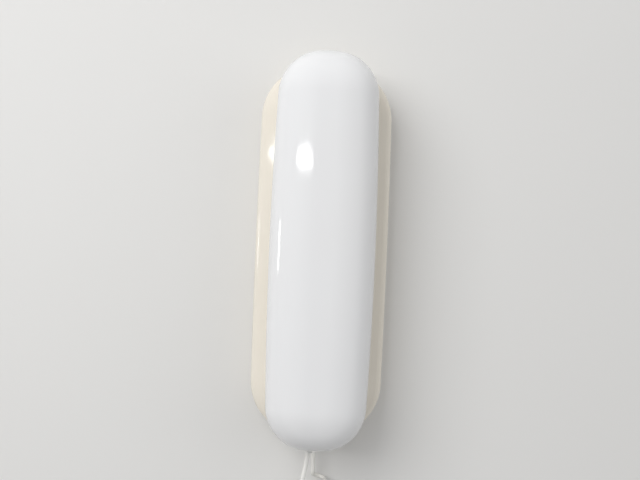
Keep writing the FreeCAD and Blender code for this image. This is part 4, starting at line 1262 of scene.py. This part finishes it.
@dataclass(frozen=True)
class Lamp:
    """One flat lamp that faces the telephone.

    Its power is in watts, and its lean, about the way it faces, in degrees. Only a mirrored lamp
    shows in reflections.
    """

    name: str
    place: Triple
    size: tuple[float, float]
    power: float
    shape: LampShape = LampShape.RECTANGLE
    mirrored: bool = False
    lean: float = 0.0

    def hang(self) -> None:
        """Put the lamp into the scene."""
        light = bpy.data.lights.new(self.name, "AREA")
        light.shape = self.shape.value
        light.size, light.size_y = self.size
        light.energy = self.power
        made = add_object(self.name, light)
        made.location = self.place
        made.rotation_mode = "QUATERNION"
        facing = (-Vector(self.place)).to_track_quat("-Z", "Y")
        made.rotation_quaternion = facing @ Quaternion((0.0, 0.0, 1.0), math.radians(self.lean))
        made.visible_glossy = self.mirrored


@dataclass
class Studio:
    """The pale wall, the lamps and the camera.

    The camera's lens and sensor are in millimetres and its roll in degrees. The room's light goes
    from one strength below to another above.
    """

    paint: WallPaint = WallPaint("wall_paint", (0.75, 0.745, 0.735), (0.735, 0.73, 0.715))
    wall_size: float = 3.0
    wall_gap: float = 0.0004
    lens: float = 50.0
    sensor: float = 36.0
    camera_place: Triple = (-0.0101, -0.5163, 0.0028)
    aim: Triple = (-0.0007, 0.0, 0.0059)
    roll: float = 2.41
    room_colour: Triple = (1.0, 1.0, 1.0)
    below: float = 0.32
    above: float = 0.60
    lamps: tuple[Lamp, ...] = (
        Lamp("main_lamp", (-0.5, -0.8, 0.45), (0.7, 0.7), power=5.8),
        Lamp("oval_lamp", (-0.625, -1.37, 0.204), (0.90, 0.053), power=1.7, shape=LampShape.ELLIPSE,
             mirrored=True, lean=-1.6),
        Lamp("side_lamp", (-1.45, -0.10, 0.0), (0.19, 0.12), power=0.65, mirrored=True),
        Lamp("fill_lamp", (1.1, -0.95, 0.3), (0.9, 0.9), power=2.4))

    def wall(self) -> None:
        """Make the wall that the telephone hangs on."""
        place = Matrix.Translation((0.0, self.wall_gap, 0.0)) @ Matrix.Rotation(math.pi / 2, 4, "X")
        form = bmesh.new()
        bmesh.ops.create_grid(form, x_segments=1, y_segments=1, size=self.wall_size / 2, matrix=place)
        mesh = bpy.data.meshes.new("wall")
        form.to_mesh(mesh)
        form.free()
        wall = add_object("wall", mesh)
        mesh.materials.append(self.paint.build())
        wall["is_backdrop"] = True

    def lights(self) -> None:
        """Light the room: soft all round, with the main light from the upper left."""
        graph = Graph(bpy.data.worlds.new("room"))
        way = graph.node("ShaderNodeTexCoord", output="Generated")
        height = graph.node("ShaderNodeSeparateXYZ", {}, {0: way}, "Z")
        level = graph.node("ShaderNodeMapRange", {}, {
            "Value": height, "From Min": -1.0, "To Min": self.below, "To Max": self.above})
        room = graph.node("ShaderNodeBackground", {}, {
            "Color": (*self.room_colour, OPAQUE), "Strength": level})
        bpy.context.scene.world = graph.end(room, "ShaderNodeOutputWorld")
        for lamp in self.lamps:
            lamp.hang()

    def camera(self) -> None:
        """Set up the camera at the photograph's viewing angle."""
        lens = bpy.data.cameras.new("camera")
        lens.lens = self.lens
        lens.sensor_width = self.sensor
        camera = add_object("camera", lens)
        aim = (Vector(self.aim) - Vector(self.camera_place)).to_track_quat("-Z", "Y").to_matrix().to_4x4()
        camera.matrix_world = (Matrix.Translation(self.camera_place) @ aim
                               @ Matrix.Rotation(math.radians(self.roll), 4, "Z"))
        bpy.context.scene.camera = camera
        bpy.context.scene.view_settings.view_transform = "Standard"

    def build(self) -> None:
        """Make the wall, the lamps and the camera."""
        self.wall()
        self.lights()
        self.camera()


def clear_room() -> None:
    """Remove whatever the scene held that isn't part of the frame."""
    kept = {*frame["nodes"].values(), *frame["bodies"].values()}
    for item in list(bpy.data.objects):
        if item not in kept:
            bpy.data.objects.remove(item)


def corners() -> list[list[float]]:
    """The shown object's lowest and highest corners as plain numbers."""
    bpy.context.view_layer.update()
    return [[round(number, 6) for number in corner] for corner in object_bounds()]


def main() -> None:
    """Build the telephone's pieces in order and report them."""
    logging.basicConfig(level=logging.INFO)
    clear_room()
    cad = corners()
    shop = Workshop()
    shop.mix_finishes()
    HandsetBack(shop).build()
    keypad = Keypad(shop)
    keypad.build()
    KeypadMat(shop).build(tuple(keypad.marks))
    ScrewCrosses(shop).build()
    plugs = CordPlugs(shop).build()
    CurlyCord(shop).build(plugs)
    Studio().build()
    visual = corners()
    LOG.info("cad box %s, visual box %s", cad, visual)


if __name__ == "__main__":
    main()
